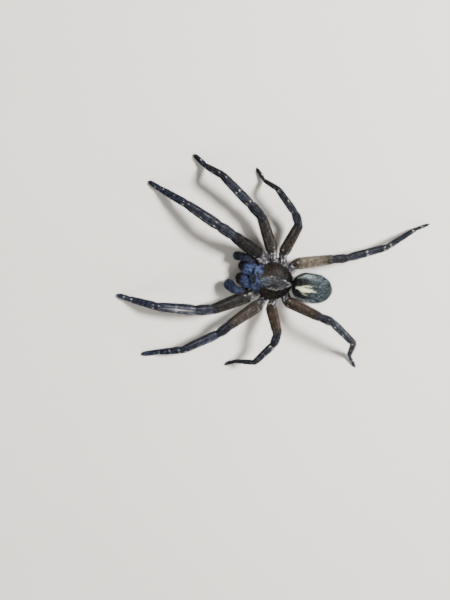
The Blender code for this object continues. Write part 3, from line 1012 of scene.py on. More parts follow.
    def abdomen(self, place: Place) -> Array:
        """Speckled grey over dark green, with a jagged cream leaf and black shoulders in front.

        Args:
            place: Where the points lie.

        Returns:
            Their colours.
        """
        p, top = place.points, place.top
        along = p[:, 1] - Abdomen.front - 0.35
        x = np.abs(p[:, 0] + 0.14 * cloud(p, 0.9, 11))
        speck = 0.08 + 1.45 * ease(cloud(p, 0.75, 12) + 0.5 * cloud(p, 0.34, 42), -0.5, 1.1)
        flank = place.stripe(60.0, 12.0) * ease(along, 0.3, 1.0) * ease(along, 8.0, 2.0)
        shoulder = ease(x, 0.4, 1.0) * ease(x, 3.7, 2.5) * ease(along, 5.2, 3.2) * ease(top, 0.35, 0.6)
        outline = 0.30 + 0.75 * ease(along, 1.8, 2.6) * ease(along, 5.6, 4.6)
        cover, gaps = self.leaf(p, x, along)
        cream = layers(Hue.CREAM, (Hue.ABDOMEN_PALE, 0.55 * ease(p[:, 0], 0.8, 1.3)))
        chevrons = ease(np.cos(2.0 * math.pi * (along - 0.45 * x) / 1.5), 0.55, 1.0) * ease(along, 7.0, 8.5)
        beads = ease(np.cos(2.0 * math.pi * along / 0.8), 0.2, 0.9)
        dots = beads * ridge(x, 1.3, 0.16) * ease(along, 2.5, 4.0)
        belly = layers(Hue.BELLY, (Hue.CREAM, 0.35 * dots * ease(along, 12.0, 10.0)))
        return layers(
            Hue.ABDOMEN,
            (Hue.ABDOMEN_BLUE, (0.10 + 0.32 * ease(along, 2.2, 5.8) + 0.26 * ease(x, 2.0, 3.6)) * speck),
            (Hue.ABDOMEN_PALE, 0.6 * ease(cloud(p, 0.42, 18), 0.7, 1.3) * ease(along, 2.5, 5.0)),
            (Hue.ABDOMEN_PALE, 0.9 * flank * (0.85 + 0.6 * cloud(p, 0.5, 13))),
            (Hue.WHITE, 0.20 * flank * ease(cloud(p, 0.5, 13), -0.3, 0.6)),
            (Hue.ABDOMEN_BLACK, shoulder * (1.05 + 0.2 * cloud(p, 0.6, 14))),
            (Hue.ABDOMEN_BLACK,
             0.7 * ridge(x - outline, 0.42, 0.34) * ease(top, 0.2, 0.5) * ease(along, 7.2, 5.2)),
            (Hue.ABDOMEN_BLACK, 0.9 * gaps),
            (cream, cover * ease(top, 0.0, 0.3)),
            (Hue.ABDOMEN_BLACK, 0.22 * chevrons * ease(x, 2.0, 0.8) * ease(top, 0.2, 0.6)),
            (belly, ease(top + 0.22 * cloud(p, 0.7, 44), 0.05, -0.75)))

    def leaf(self, p: Array, x: Array, along: Array) -> tuple[Array, Array]:
        """The cream leaf on the abdomen: a midrib, and a ragged blade that a gap splits on each side.

        Args:
            p: The points.
            x: How far they are from the midline.
            along: How far they are behind its front.

        Returns:
            How much each point is on the leaf, and how much in its gaps.
        """
        ragged = x + 0.17 * cloud(p, 0.45, 15)
        here, there = self.leaf_right, self.leaf_left
        right = p[:, 0] < 0.0
        wide = np.where(right, through_knots(along, here.widths), through_knots(along, there.widths))
        rear, split = np.where(right, here.rear, there.rear), np.where(right, here.split, there.split)
        blade = ease(ragged - wide, 0.10, -0.10) * ease(along, 0.2, 0.7) * ease(along, rear, rear - 0.6)
        width = 0.32 + 0.06 * np.clip(along - split, 0.0, 1.6)
        gap = ridge(ragged, np.where(right, here.gap, there.gap), width)
        gap *= ease(along, split - 0.3, split + 0.3)
        rib = ease(ragged - through_knots(along, self.midrib), 0.08, -0.08)
        rib *= ease(along, 0.6, 1.2) * ease(along, 7.0, 6.4)
        return np.maximum(rib, blade * (1.0 - gap) * (0.85 + 0.2 * cloud(p, 0.5, 47))), gap * blade

    def palp(self, place: Place) -> Array:
        """Slate palps, with a painted blue-grey highlight on top of the bend and a black end.

        Args:
            place: Where the points lie.

        Returns:
            Their colours.
        """
        p = place.points
        steel, blue, tone = self.PALPS[place.tube.side]
        return layers(
            layers(Hue.NAVY, (Hue.STEEL, steel + 0.40 * cloud(p, 0.6, 21))) * tone,
            # painted highlight: blue-grey on the upper side of the bend
            (Hue.HEAD_PALE, blue * ease(place.top, -0.2, 0.6) * ease(p[:, 1], -9.5, -11.5)),
            (Hue.COXA, ease(p[:, 1], -10.0, -8.0)),
            (Hue.HEAD_BLACK, 0.8 * ease(p[:, 2], 4.4, 2.6)))

    def jaw(self, place: Place) -> Array:
        """Blue-grey jaws with a black front.

        Args:
            place: Where the points lie.

        Returns:
            Their colours.
        """
        p = place.points
        front = p[:, 1] + 0.30 * (p[:, 2] - 6.0) + 0.3 * cloud(p, 0.8, 23)
        return layers(Hue.HEAD, (Hue.HEAD_PALE, 0.40 + 0.60 * cloud(p, 0.50, 22)),
                      (Hue.HEAD_BLACK, ease(front, -10.2, -11.4)))

    @staticmethod
    def mottle(place: Place) -> Array:
        """The soft mottle that all the limbs share."""
        return cloud(place.points, 0.7, 31)

    @staticmethod
    def grain(place: Place) -> Array:
        """Sparse pale flecks on the limbs."""
        return ease(cloud(place.points, 0.36, 34), 0.8, 1.4)

    def tones(self, place: Place) -> Pair:
        """How light this leg's thigh and the rest of it are, partly its own tone and partly painted light."""
        return self.TONES[place.tube.side, place.tube.pair]

    def membrane(self, place: Place) -> Array:
        """Soft brown flesh between the plates, darker at the legs' joints."""
        return layers(Hue.MEMBRANE, (Hue.SLATE, (0.7 if place.tube.pair else 0.2) + 0.3 * self.mottle(place)))

    def hip(self, place: Place) -> Array:
        """Mauve hips with white dots above, partly pale hair and partly painted glints; breastplate and
        spinnerets are plain and darker.

        Args:
            place: Where the points lie.

        Returns:
            Their colours.
        """
        p, top = place.points, place.top
        colour = layers(Hue.COXA, (Hue.COXA_PALE, 0.45 * ease(cloud(p, 0.50, 35), 0.1, 1.0)),
                        (Hue.OLIVE, 0.5 * ease(top, 0.2, -0.8)))
        if place.tube.region is not Region.COXA:
            return colour * (0.5 if place.tube.region is Region.SPINNERET else 0.8)
        # white dots on top of the hips: partly pale hair, partly painted glints
        dots = 0.8 * ease(cloud(p, 0.50, 36), 0.85, 1.1) * ease(top, 0.0, 0.4)
        white = np.maximum.reduce((0.75 * self.spots(place), dots, 0.45 * self.bars(place)))
        return layers(colour, (Hue.WHITE, white))

    def thigh(self, place: Place) -> Array:
        """Brown femora with fine pale lines; the last one on the right has a painted sand-grey highlight on
        its top.

        Args:
            place: Where the points lie.

        Returns:
            Their colours.
        """
        share, top, tube, mottle = place.share, place.top, place.tube, self.mottle(place)
        light = self.tones(place)[0]
        lines = place.stripe(34.0, 8.0) * ease(share, 0.12, 0.3) * ease(share, 0.95, 0.8)
        # painted highlight: the last right femur is made sand-grey along its top
        highlit_femur = (tube.side, tube.pair) == (Side.RIGHT.value, 4)
        painted_sand_highlight = (0.55 + 0.35 * mottle) * ease(share, 0.12, 0.30) * ease(share + 0.08 * mottle, 0.98, 0.72)
        colour = layers(Hue.OLIVE, (Hue.RUST, self.BROWNS[tube.pair] * (1.0 - 0.5 * ease(mottle, 0.0, 0.9))),
                        (Hue.MAUVE, 0.15 + 0.35 * ease(share, 0.22, 0.0) + 0.3 * mottle)) * light
        return layers(
            colour,
            (Hue.SLATE, 0.6 * ease(share, 0.72, 1.0) + 0.5 * ease(top, 0.1, -0.9)),
            (Hue.PALE, (0.14 * lines + 0.22 * self.grain(place)) * min(light, 1.0)),
            (Hue.SAND, highlit_femur * painted_sand_highlight * ease(top, -0.3, 0.4)),
            (Hue.WHITE, 0.8 * self.spots(place)),
            (Hue.PALE, 0.40 * ease(share, 0.955, 0.99) * (0.5 + 0.5 * mottle)))

    def knee(self, place: Place) -> Array:
        """Slate patellae with two pale lines.

        Args:
            place: Where the points lie.

        Returns:
            Their colours.
        """
        mottle, lines = self.mottle(place), place.stripe(34.0, 8.0)
        colour = layers(Hue.SLATE, (Hue.STEEL, 0.10 + 0.30 * mottle),
                        (Hue.PALE, 0.22 * lines * (0.7 + 0.5 * mottle) + 0.40 * self.grain(place)))
        return colour * self.tones(place)[1] * 0.85

    def shin(self, place: Place) -> Array:
        """Slate tibiae that turn navy, with two pale lines; the first on the left also has a painted white
        highlight along its top.

        Args:
            place: Where the points lie.

        Returns:
            Their colours.
        """
        share, tube, mottle = place.share, place.tube, self.mottle(place)
        lines = place.stripe(34.0, 8.0) * ease(share, 0.97, 0.7) * (0.9 + 0.3 * mottle)
        # painted highlight: a white line along the top of the first left tibia
        painted_crest_highlight = (tube.side, tube.pair) == (Side.LEFT.value, 1)
        colour = layers(Hue.SLATE, (Hue.STEEL, 0.28 + 0.30 * mottle),
                        (Hue.NAVY, 0.6 * ease(share, 0.35, 1.0)),
                        (Hue.PALE, (0.48 if tube.pair == 1 else 0.28) * lines + 0.24 * self.grain(place)))
        return layers(colour * self.tones(place)[1],
                      (Hue.WHITE, 0.9 * painted_crest_highlight * place.stripe(0.0, 9.0) * ridge(share, 0.40, 0.26)),
                      (Hue.WHITE, 0.9 * self.spots(place)))

    def foot(self, place: Place) -> Array:
        """Navy metatarsi and tarsi with white spots."""
        colour = layers(Hue.NAVY, (Hue.STEEL, 0.22 + 0.40 * self.mottle(place)),
                        (Hue.PALE, 0.26 * self.grain(place)))
        return layers(colour * self.tones(place)[1], (Hue.WHITE, 0.9 * self.spots(place)))

    @staticmethod
    def bars(place: Place) -> Array:
        """How much points are on the short pale bars along the front of the first legs' hips.

        Args:
            place: Where the points lie.

        Returns:
            A share for each point.
        """
        forwards = np.cos(place.turn) * place.tube.side
        rows = ease(np.sin(18.0 * place.turn), 0.35, 0.85) * ease(forwards, -0.15, 0.2)
        rows *= ease(place.top, -0.2, 0.1)
        return rows * (place.tube.pair == 1) * ease(np.linalg.norm(place.points[:, :2], axis=1), 7.2, 7.8)

    def spots(self, place: Place) -> Array:
        """How much points are on the pale spots at the roots of upper spines and the ends of a joint.

        Args:
            place: Where the points lie.

        Returns:
            A share for each point.
        """
        tube = place.tube
        near = sum(ridge(place.share * tube.length, share * tube.length, 0.20)
                   for share in self.SPOTS[tube.region])
        across = min(math.degrees(0.24 / tube.sizes.mean()), 20.0)
        kept = ease(cloud(place.points, 0.9, 33), -0.4, 0.2)
        return near * ease(place.stripe(30.0, across) * kept, 0.35, 0.65)


# ---------------------------------------------------------------- skin
def halved(quads: Array) -> Array:
    """Cuts each four-sided face into two triangles."""
    return np.vstack((quads[:, :3], quads[:, [0, 2, 3]]))


@dataclass
class Ground:
    """A surface that hair grows on, with the tube that each triangle belongs to."""

    points: Array
    normals: Array
    triangles: Array
    owners: Array
    tubes: list[Tube]
    finders: list[Callable[[Array], Place]]

    def roots(self, wanted: Array, density: float, rng: np.random.Generator) -> tuple[Array, Array]:
        """Scatters roots evenly by area.

        Args:
            wanted: Which triangles may hold them.
            density: Roots to the square millimetre.
            rng: Where chance comes from.

        Returns:
            The roots' points and the surface's directions there.
        """
        picked = self.triangles[wanted]
        corners = self.points[picked]
        first, second = corners[:, 1] - corners[:, 0], corners[:, 2] - corners[:, 0]
        area = np.linalg.norm(np.cross(first, second), axis=1) / 2.0
        chosen = rng.choice(len(picked), int(area.sum() * density), p=area / area.sum())
        a, b = np.sqrt(rng.random(len(chosen))), rng.random(len(chosen))
        weights = np.stack((1.0 - a, a * (1.0 - b), a * b), axis=1)[:, :, None]
        facing = unit((self.normals[picked[chosen]] * weights).sum(axis=1))
        return (corners[chosen] * weights).sum(axis=1), facing


@dataclass
class Skin:
    """One closed skin over all the flesh, with no seam between its parts."""

    groups: dict[str, list[Tube]]
    voxel: float = 0.245
    smoothing: int = 4
    evening: int = 8
    clearance: float = 0.02
    # the skin between the hairs is darker than their tips
    shade: float = 0.62
    # the map of the hair's lie doesn't run on across a step as long as this
    jump: float = 1.2

    @property
    def tubes(self) -> list[Tube]:
        """All the tubes in the groups' order."""
        return [tube for group in self.groups.values() for tube in group]

    def fuse(self) -> Shape:
        """Melts the tubes into one closed surface.

        Returns:
            The surface in millimetres.
        """
        rough = Shape.joined([tube.shape() for tube in self.tubes])
        block = bpy.data.objects.new("block", rough.mesh("block", rough.points))
        bpy.context.scene.collection.objects.link(block)
        melt = block.modifiers.new("melt", "REMESH")
        melt.mode = "VOXEL"
        melt.voxel_size = self.voxel
        settle = block.modifiers.new("settle", "SMOOTH")
        settle.factor = 0.5
        settle.iterations = self.smoothing
        bpy.context.view_layer.update()
        made = block.evaluated_get(bpy.context.evaluated_depsgraph_get()).to_mesh()
        points, corners = read(made.vertices, "co", 3), read(made.loops, "vertex_index", kind=np.int32)
        starts, counts = (read(made.polygons, name, kind=np.int32) for name in ("loop_start", "loop_total"))
        faces = [corners[starts[counts == n][:, None] + np.arange(n)] for n in (3, 4) if (counts == n).any()]
        bpy.data.objects.remove(block)
        return Shape(points, faces)

    def owners(self, points: Array) -> Array:
        """Finds the tube nearest to each point.

        Args:
            points: Points of the skin.

        Returns:
            Each point's tube, as its number.
        """
        shapes = [tube.shape().points for tube in self.tubes]
        numbers = np.repeat(np.arange(len(shapes)), [len(rows) for rows in shapes])
        tree = kdtree.KDTree(len(numbers))
        for i, row in enumerate(np.vstack(shapes)):
            tree.insert(row, i)
        tree.balance()
        return numbers[[tree.find(row)[1] for row in points]]

    def build(self, frame: Frame, nodes: tuple[str, ...], finish: bpy.types.Material) -> Ground:
        """Builds the skin and colours it.

        Args:
            frame: Where it goes.
            nodes: The CAD nodes that it stands for.
            finish: Its material.

        Returns:
            The ground for the coat.
        """
        shape = self.fuse().above(self.clearance)
        owners, tubes = self.owners(shape.points), self.tubes
        colours, lie = np.zeros((len(shape.points), 3)), np.zeros((len(shape.points), 2))
        for number, tube in enumerate(tubes):
            mine = owners == number
            if mine.any():
                place = tube.locate(shape.points[mine])
                colours[mine] = Markings().colour(place) * self.shade
                lie[mine] = np.stack((place.share * tube.length, place.turn * tube.sizes.max()), axis=1)
        mesh = frame.piece("skin", shape, finish, colours, "leg_hair", nodes)
        self.map_lie(mesh, lie, owners)
        triangles = np.vstack([faces if faces.shape[1] == 3 else halved(faces) for faces in shape.faces])
        return Ground(shape.points, self.even_normals(mesh), triangles, owners[triangles[:, 0]], tubes,
                      [tube.locate for tube in tubes])

    def even_normals(self, mesh: bpy.types.Mesh) -> Array:
        """Evens out the surface's directions, so that the hair lies without ripples.

        Args:
            mesh: The skin's mesh.

        Returns:
            One direction for each point.
        """
        normals = read(mesh.vertex_normals, "vector", 3)
        start, end = read(mesh.edges, "vertices", 2, np.int32).T
        for _ in range(self.evening):
            total = [normals[:, i] + np.bincount(start, normals[end, i], len(normals))
                     + np.bincount(end, normals[start, i], len(normals)) for i in range(3)]
            normals = unit(np.stack(total, axis=1))
        return normals

    def map_lie(self, mesh: bpy.types.Mesh, lie: Array, owners: Array) -> None:
        """Writes the map that the hair's streaks follow: along each tube, and round it, in millimetres.

        Args:
            mesh: The skin's mesh.
            lie: Both for each point.
            owners: Each point's tube.
        """
        corners = read(mesh.loops, "vertex_index", kind=np.int32)
        starts, counts = (read(mesh.polygons, name, kind=np.int32) for name in ("loop_start", "loop_total"))
        first = corners[np.repeat(starts, counts)]
        rows = lie[corners]
        apart = (np.abs(rows - lie[first]).max(axis=1) > self.jump) | (owners[corners] != owners[first])
        rows = np.where(apart[:, None], lie[first], rows)
        mesh.uv_layers.new(name="lie").data.foreach_set("uv", rows.astype(np.float32).ravel())


# ---------------------------------------------------------------- coat
@dataclass(frozen=True)
class Nap:
    """How hair grows on one kind of surface. Lengths are in millimetres and angles in degrees."""

    density: float
    length: float
    radius: float
    lift: float
    tangle: float
    glints: float


NAPS = {
    Region.CARAPACE: Nap(150, 0.40, 0.036, 10, 16, 0.025),
    Region.JAW: Nap(115, 0.50, 0.036, 18, 20, 0.10),
    Region.PALP: Nap(100, 0.52, 0.036, 22, 18, 0.05),
    Region.COXA: Nap(84, 0.44, 0.040, 18, 24, 0.09),
    Region.FEMUR: Nap(76, 0.58, 0.040, 16, 15, 0.05),
    Region.PATELLA: Nap(76, 0.56, 0.040, 18, 15, 0.06),
    Region.TIBIA: Nap(80, 0.56, 0.038, 20, 15, 0.06),
    Region.METATARSUS: Nap(90, 0.46, 0.034, 22, 17, 0.05),
    Region.TARSUS: Nap(110, 0.38, 0.030, 26, 18, 0.04),
    Region.ABDOMEN: Nap(124, 0.50, 0.038, 17, 22, 0.06),
    Region.STERNUM: Nap(60, 0.44, 0.040, 20, 24, 0.05),
    Region.SPINNERET: Nap(90, 0.30, 0.032, 20, 14, 0.03),
    Region.MEMBRANE: Nap(62, 0.42, 0.038, 18, 18, 0.04),
}


@dataclass
class Tufts:
    """Thin pointed tufts as solid mesh: three-sided, straight as nap or bent once as bristles."""

    roots: Array
    normals: Array
    # which way they lie, their length and radius, and their angle above the surface in radians
    lie: Array
    sizes: Array
    lifts: Array
    colours: Array
    # the place of each root on the unwrapped skin
    spots: Array
    # how deep a foot is sunk, and how wide a tuft's patch of the map is
    sunk: float = 0.05
    patch: float = 0.003
    # how light foot, bend and tip are
    shades: Row = (0.62, 0.95, 1.25)
    # a bristle's bend: where along it, its width there, and the lift before the bend and up to the tip
    bend_at: float = 0.5
    bend_width: float = 0.55
    bend_lift: float = 1.25
    tip_lift: float = 0.75

    FACES = {
        Hair.NAP: (((0, 1, 3), (1, 2, 3), (2, 0, 3), (0, 2, 1)),),
        Hair.BRISTLE: (((0, 1, 4, 3), (1, 2, 5, 4), (2, 0, 3, 5)),
                       ((3, 4, 6), (4, 5, 6), (5, 3, 6), (0, 2, 1))),
    }
    # where foot, bend and tip lie on the patch
    SPREAD = np.array(((-0.5, -0.5), (0.0, -0.3), (0.5, -0.5), (-0.3, 0.0), (0.0, 0.15), (0.3, 0.0),
                       (0.0, 0.5)))

    def grow(self, hair: Hair) -> tuple[Shape, Array, Array]:
        """Makes one tuft on each root.

        Args:
            hair: Nap or bristles.

        Returns:
            The mesh, with a colour and a map place for each point.
        """
        bent = hair is Hair.BRISTLE
        normals, long, wide = self.normals, self.sizes[:, :1], self.sizes[:, 1:]
        flat = unit(self.lie - (self.lie * normals).sum(axis=1, keepdims=True) * normals)
        side = np.cross(flat, normals)
        turns = math.pi * (0.5 + 2.0 * np.arange(3) / 3.0)

        def ahead(share: float, steeper: float) -> Array:
            """The point so far along each tuft, at its lift times so much."""
            lift = (self.lifts * steeper)[:, None]
            return self.roots + share * long * (np.cos(lift) * flat + np.sin(lift) * normals)

        def ring(middle: Array, radius: Array) -> list[Array]:
            """Three points round the middle."""
            return [middle + radius * (math.cos(a) * side + math.sin(a) * normals) for a in turns]

        rings = ring(self.roots - self.sunk * normals, wide)
        if bent:
            rings += ring(ahead(self.bend_at, self.bend_lift), self.bend_width * wide)
        points = np.stack(rings + [ahead(1.0, self.tip_lift if bent else 1.0)], axis=1)
        foot, bend, tip = self.shades
        shades = np.array([foot] * 3 + [bend] * (len(rings) - 3) + [tip])
        spread = self.SPREAD if bent else self.SPREAD[[0, 1, 2, 6]]
        first = (np.arange(len(self.roots)) * len(shades))[:, None, None]
        faces = [(first + np.array(part)[None]).reshape(-1, len(part[0])) for part in self.FACES[hair]]
        tones = (self.colours[:, None, :] * shades[None, :, None]).reshape(-1, 3)
        places = (self.spots[:, None, :] + self.patch * spread[None]).reshape(-1, 2)
        return Shape(points.reshape(-1, 3), faces), tones, places


@dataclass
class Coat:
    """The hair of one stretch of the body, as one piece."""

    name: str
    ground: Ground
    numbers: range
    slot: str
    # bristles, next to the nap: how many, how long, how stout, how light and how many degrees up
    bristle_share: float = 0.045
    bristle_growth: float = 2.1
    bristle_width: float = 0.62
    bristle_tone: float = 0.55
    bristle_lift: float = 34.0
    # how many of the hips' bristles are white, how white, and how much stouter than the others; the white is
    # partly pale hair and partly painted glints on top
    white_share: float = 0.15
    white_strength: float = 0.8
    white_stoutness: float = 0.7
    # how many degrees more the hair stands up under the feet
    sole_lift: float = 26.0
    # how much single hairs differ
    lift_range: Pair = (0.6, 1.45)
    growth_range: Pair = (0.62, 1.25)
    width_range: Pair = (0.7, 1.2)
    tone_spread: float = 0.42
    eye_gap: float = 0.04

    def lay(self, frame: Frame, finish: bpy.types.Material, rng: np.random.Generator) -> None:
        """Grows the hair.

        Args:
            frame: Where it goes.
            finish: Its material.
            rng: Where chance comes from.
        """
        total = sum(self.ground.tubes[number].length for number in self.numbers)
        start, made = 0.0, []
        for number in self.numbers:
            tube = self.ground.tubes[number]
            if tube.region in NAPS and (self.ground.owners == number).any():
                made += [self.grow(number, (start / total, tube.length / total), hair, rng) for hair in Hair]
            start += tube.length
        shapes, tones, places = zip(*made)
        shape = Shape.joined(shapes).above(0.0)
        mesh = frame.piece(self.name, shape, finish, np.vstack(tones), self.slot)
        spots = np.vstack(places)[np.concatenate([faces.ravel() for faces in shape.faces])]
        mesh.uv_layers.new(name="OFBake").data.foreach_set("uv", spots.astype(np.float32).ravel())

    def grow(self, number: int, stretch: Pair, hair: Hair,
             rng: np.random.Generator) -> tuple[Shape, Array, Array]:
        """Grows the nap or the bristles of one tube.

        Args:
            number: The tube.
            stretch: Where its length starts on the piece's map, and how much it takes.
            hair: Nap or bristles.
            rng: Where chance comes from.

        Returns:
            The mesh, with a colour and a map place for each point.
        """
        tube, bent = self.ground.tubes[number], hair is Hair.BRISTLE
        nap = NAPS[tube.region]
        density = nap.density * (self.bristle_share if bent else 1.0)
        roots, normals = self.ground.roots(self.ground.owners == number, density, rng)
        if tube.region is Region.CARAPACE:
            free = Eyes.away(roots) > self.eye_gap
            roots, normals = roots[free], normals[free]
        place, count = self.ground.finders[number](roots), len(roots)
        turn = np.radians(nap.tangle) * rng.normal(size=(count, 1))
        flat = unit(place.axis - (place.axis * normals).sum(axis=1, keepdims=True) * normals)
        lie = np.cos(turn) * flat + np.sin(turn) * np.cross(normals, flat)
        beneath = ease(place.top, 0.0, -0.8) * (tube.region in (Region.METATARSUS, Region.TARSUS))
        lift = (self.bristle_lift if bent else nap.lift) * rng.uniform(*self.lift_range, count)
        growth = (self.bristle_growth if bent else 1.0) * rng.uniform(*self.growth_range, count)
        radius = nap.radius * (self.bristle_width if bent else 1.0) * rng.uniform(*self.width_range, count)
        tones = Markings().colour(place) * np.exp(rng.normal(0.0, self.tone_spread, (count, 1)))
        glint = rng.random(count) < nap.glints
        tones = layers(tones, (Hue.PALE, glint * rng.uniform(0.3, 1.0, count)))
        if bent:
            # white bristles on the hips' tops: partly pale hair, partly painted glints
            white = rng.random(count) < self.white_share
            hip = (tube.region is Region.COXA) * ease(place.top, 0.0, 0.5) * white
            tones = layers(tones * self.bristle_tone, (Hue.WHITE, self.white_strength * hip))
            radius *= 1.0 + self.white_stoutness * hip
        around = (place.turn / (2.0 * math.pi) + 0.75) % 1.0
        spots = np.stack((stretch[0] + stretch[1] * place.share, around), axis=1) * 0.99 + 0.005
        lifts = np.radians(lift + self.sole_lift * beneath)
        sizes = np.stack((nap.length * growth, radius), axis=1)
        return Tufts(roots, normals, lie, sizes, lifts, tones, spots).grow(hair)


# ---------------------------------------------------------------- hard parts
@dataclass(frozen=True)
class Eye:
    """One lens on the left: its middle and radius, and the way it looks."""

    name: str
    middle: Row
    radius: float
    look: Row


@dataclass
class Eyes:
    """Eight eyes in three rows, two, four and two, each a clear domed lens."""

    rings: int = 26
    sides: int = 36
    # the angle from the lens's axis at which its rings start and end
    pole: float = 0.04
    left: tuple[Eye, ...] = (
        Eye("front", (0.40, -7.98, 9.12), 0.26, (0.25, -1.0, 0.05)),
        Eye("side", (1.42, -7.84, 9.50), 0.20, (0.9, -1.0, 0.1)),
        Eye("middle", (0.66, -7.72, 10.02), 0.42, (0.3, -1.0, 0.45)),
        Eye("back", (1.62, -6.96, 10.62), 0.40, (1.0, -0.5, 0.75)))

    @classmethod
    def away(cls, points: Array) -> Array:
        """Finds how far points of the head lie from the nearest eye.

        Args:
            points: Points of the head.

        Returns:
            Each point's distance from that lens.
        """
        mirrored = np.column_stack((np.abs(points[:, 0]), points[:, 1:]))
        gaps = [np.linalg.norm(mirrored - eye.middle, axis=1) - eye.radius for eye in cls.left]
        return np.min(gaps, axis=0)

    def build(self, frame: Frame, finish: bpy.types.Material) -> None:
        """Builds each eye in place of its CAD node.

        Args:
            frame: Where they go.
            finish: Their material.
        """
        turn = np.linspace(self.pole, math.pi - self.pole, self.rings)
        for side in Side:
            for eye in self.left:
                middle, look = side.mirror((eye.middle, eye.look))
                look = unit(look)
                line = middle - look * (eye.radius * np.cos(turn))[:, None]
                sizes = (eye.radius * np.sin(turn))[:, None] * np.ones((1, 2))
                shape = Tube(Region.JAW, line, sizes, sides=self.sides).shape()
                facing = ((shape.points - middle) @ look) / eye.radius
                colours = layers(Hue.EYE, (Hue.EYE_SHEEN, ease(facing, 0.5, 1.0)),
                                 (Hue.EYE_RIM, ridge(facing, 0.15, 0.22)))
                node = f"eye_{eye.name}_{side.word}"
                frame.piece(f"lens_{eye.name}_{side.word}", shape, finish, colours, "eye", (node,))


@dataclass
class Fangs:
    """The two folded fangs, curved and polished."""

    # X, Y, Z and radius on the left side
    path: Rows = ((2.62, -11.10, 2.45, 0.60), (2.66, -11.14, 1.85, 0.52), (2.30, -11.12, 1.42, 0.43),
                  (1.70, -10.98, 1.20, 0.34), (1.05, -10.72, 1.12, 0.24), (0.42, -10.30, 1.24, 0.09))

    def build(self, frame: Frame, finish: bpy.types.Material) -> None:
        """Builds both fangs in place of their CAD nodes.

        Args:
            frame: Where they go.
            finish: Their material.
        """
        for side in Side:
            tube = Tube.through(Region.JAW, side.mirror(self.path), 0.02, (0.15, 0.05), (0.6, 0.9), 30)
            shape = tube.shape()
            colours = layers(Hue.FANG_ROOT, (Hue.FANG_TIP, ease(tube.locate(shape.points).share, 0.1, 0.7)))
            frame.piece(f"polished_fang_{side.word}", shape, finish, colours, "horn", (f"fang_{side.word}",))


@dataclass
class Spines:
    """Stout dark spines on the legs, in the pairs and rows that a hunting spider has."""

    length: float = 1.55
    radius: float = 0.055
    tip_radius: float = 0.006
    sunk: float = 0.08
    lift: float = 38.0
    # how much less the tip stands up than the root
    stoop: float = 0.35
    # the share of the length that even the thinnest segment's spines have, and what counts as stout
    least: float = 0.55
    stout_radius: float = 1.3
    # past this many times stout, a spine grows no longer
    stout_limit: float = 1.2

    # share of the segment's length, and degrees from its top, each on both flanks
    ROWS = {
        Region.FEMUR: ((0.30, 8), (0.55, 10), (0.80, 8), (0.45, 52), (0.74, 50)),
        Region.PATELLA: ((0.55, 80),),
        Region.TIBIA: ((0.25, 12), (0.68, 10), (0.30, 82), (0.70, 80), (0.14, 152), (0.36, 150), (0.58, 150),
                       (0.80, 150)),
        Region.METATARSUS: ((0.12, 75), (0.50, 78), (0.12, 150), (0.42, 148), (0.88, 140)),
    }

    def build(self, frame: Frame, legs: list[Leg], finish: bpy.types.Material) -> None:
        """Builds all the spines as one piece.

        Args:
            frame: Where they go.
            legs: The legs.
            finish: Their material.
        """
        shapes = [self.spine(tube, share, math.radians(90.0 - flank * degrees))
                  for leg in legs for tube in leg.tubes()
                  for share, degrees in self.ROWS.get(tube.region, ()) for flank in (-1, 1)]
        shape = Shape.joined(shapes).above(0.0)
        frame.piece("spines", shape, finish, np.tile(Hue.SPINE, (len(shape.points), 1)), "horn")

    def spine(self, tube: Tube, share: float, turn: float) -> Shape:
        """Makes one spine.

        Args:
            tube: The segment that it stands on.
            share: Where along the segment.
            turn: Where round it, in radians.

        Returns:
            A slender cone that bends towards the foot.
        """
        i = int(round(share * (len(tube.line) - 1)))
        out = math.cos(turn) * tube.across[i] + math.sin(turn) * tube.above[i]
        root = tube.line[i] + (tube.sizes[i].mean() - self.sunk) * out
        stout = min(tube.sizes.max() / self.stout_radius, self.stout_limit)
        length = self.length * (self.least + (1.0 - self.least) * stout)
        t, lift = np.linspace(0.0, 1.0, 7)[:, None], math.radians(self.lift)
        rise = math.sin(lift) * out * (1.0 - self.stoop * t)
        line = root + length * t * (math.cos(lift) * tube.axes[i] + rise)
        radii = np.repeat(self.radius * (1.0 - t) ** 0.8 + self.tip_radius, 2, axis=1)
        return Tube(Region.TIBIA, line, radii, sides=7).shape()


@dataclass
class Claws:
    """Two hooked claws at the end of each foot."""

    # how far ahead of the tip and above it, and the radius there
    hook: Rows = ((-0.20, 0.10, 0.060), (0.02, 0.17, 0.062), (0.22, 0.12, 0.048), (0.34, -0.02, 0.028),
                  (0.36, -0.14, 0.008))
    apart: float = 0.11

    def build(self, frame: Frame, legs: list[Leg], finish: bpy.types.Material) -> None:
        """Builds all the claws as one piece.

        Args:
            frame: Where they go.
            legs: The legs.
            finish: Their material.
        """
        ahead, rise, radius = np.hsplit(np.array(self.hook), 3)
        shapes = []
        for leg in legs:
            ankle, tip = leg.joints()[5:]
            toe = unit(tip - ankle)
            across = unit(np.cross(toe, UP))
            for flank in (-1, 1):
                line = tip + ahead * toe + rise * np.cross(across, toe) + flank * self.apart * across
                rows = np.hstack((line, radius))
                shapes.append(Tube.through(Region.TARSUS, rows, 0.0, count=14, sides=9).shape())
        shape = Shape.joined(shapes).above(0.0)
        frame.piece("claws", shape, finish, np.tile(Hue.CLAW, (len(shape.points), 1)), "horn")


# ---------------------------------------------------------------- finishes
def add(tree: bpy.types.NodeTree, kind: str, inputs: dict, **settings: object) -> bpy.types.Node:
    """Adds a node with its settings, values and links.

    Args:
        tree: Where it goes.
        kind: Blender's name for the node.
        inputs: A constant, or another node's output, for each input by name or number.
        settings: Its properties.

    Returns:
        The node.
    """
    node = tree.nodes.new(kind)
    for name, value in settings.items():
        setattr(node, name, value)
    for name, value in inputs.items():
        if isinstance(value, bpy.types.NodeSocket):
            tree.links.new(value, node.inputs[name])
        else:
            node.inputs[name].default_value = value
    return node


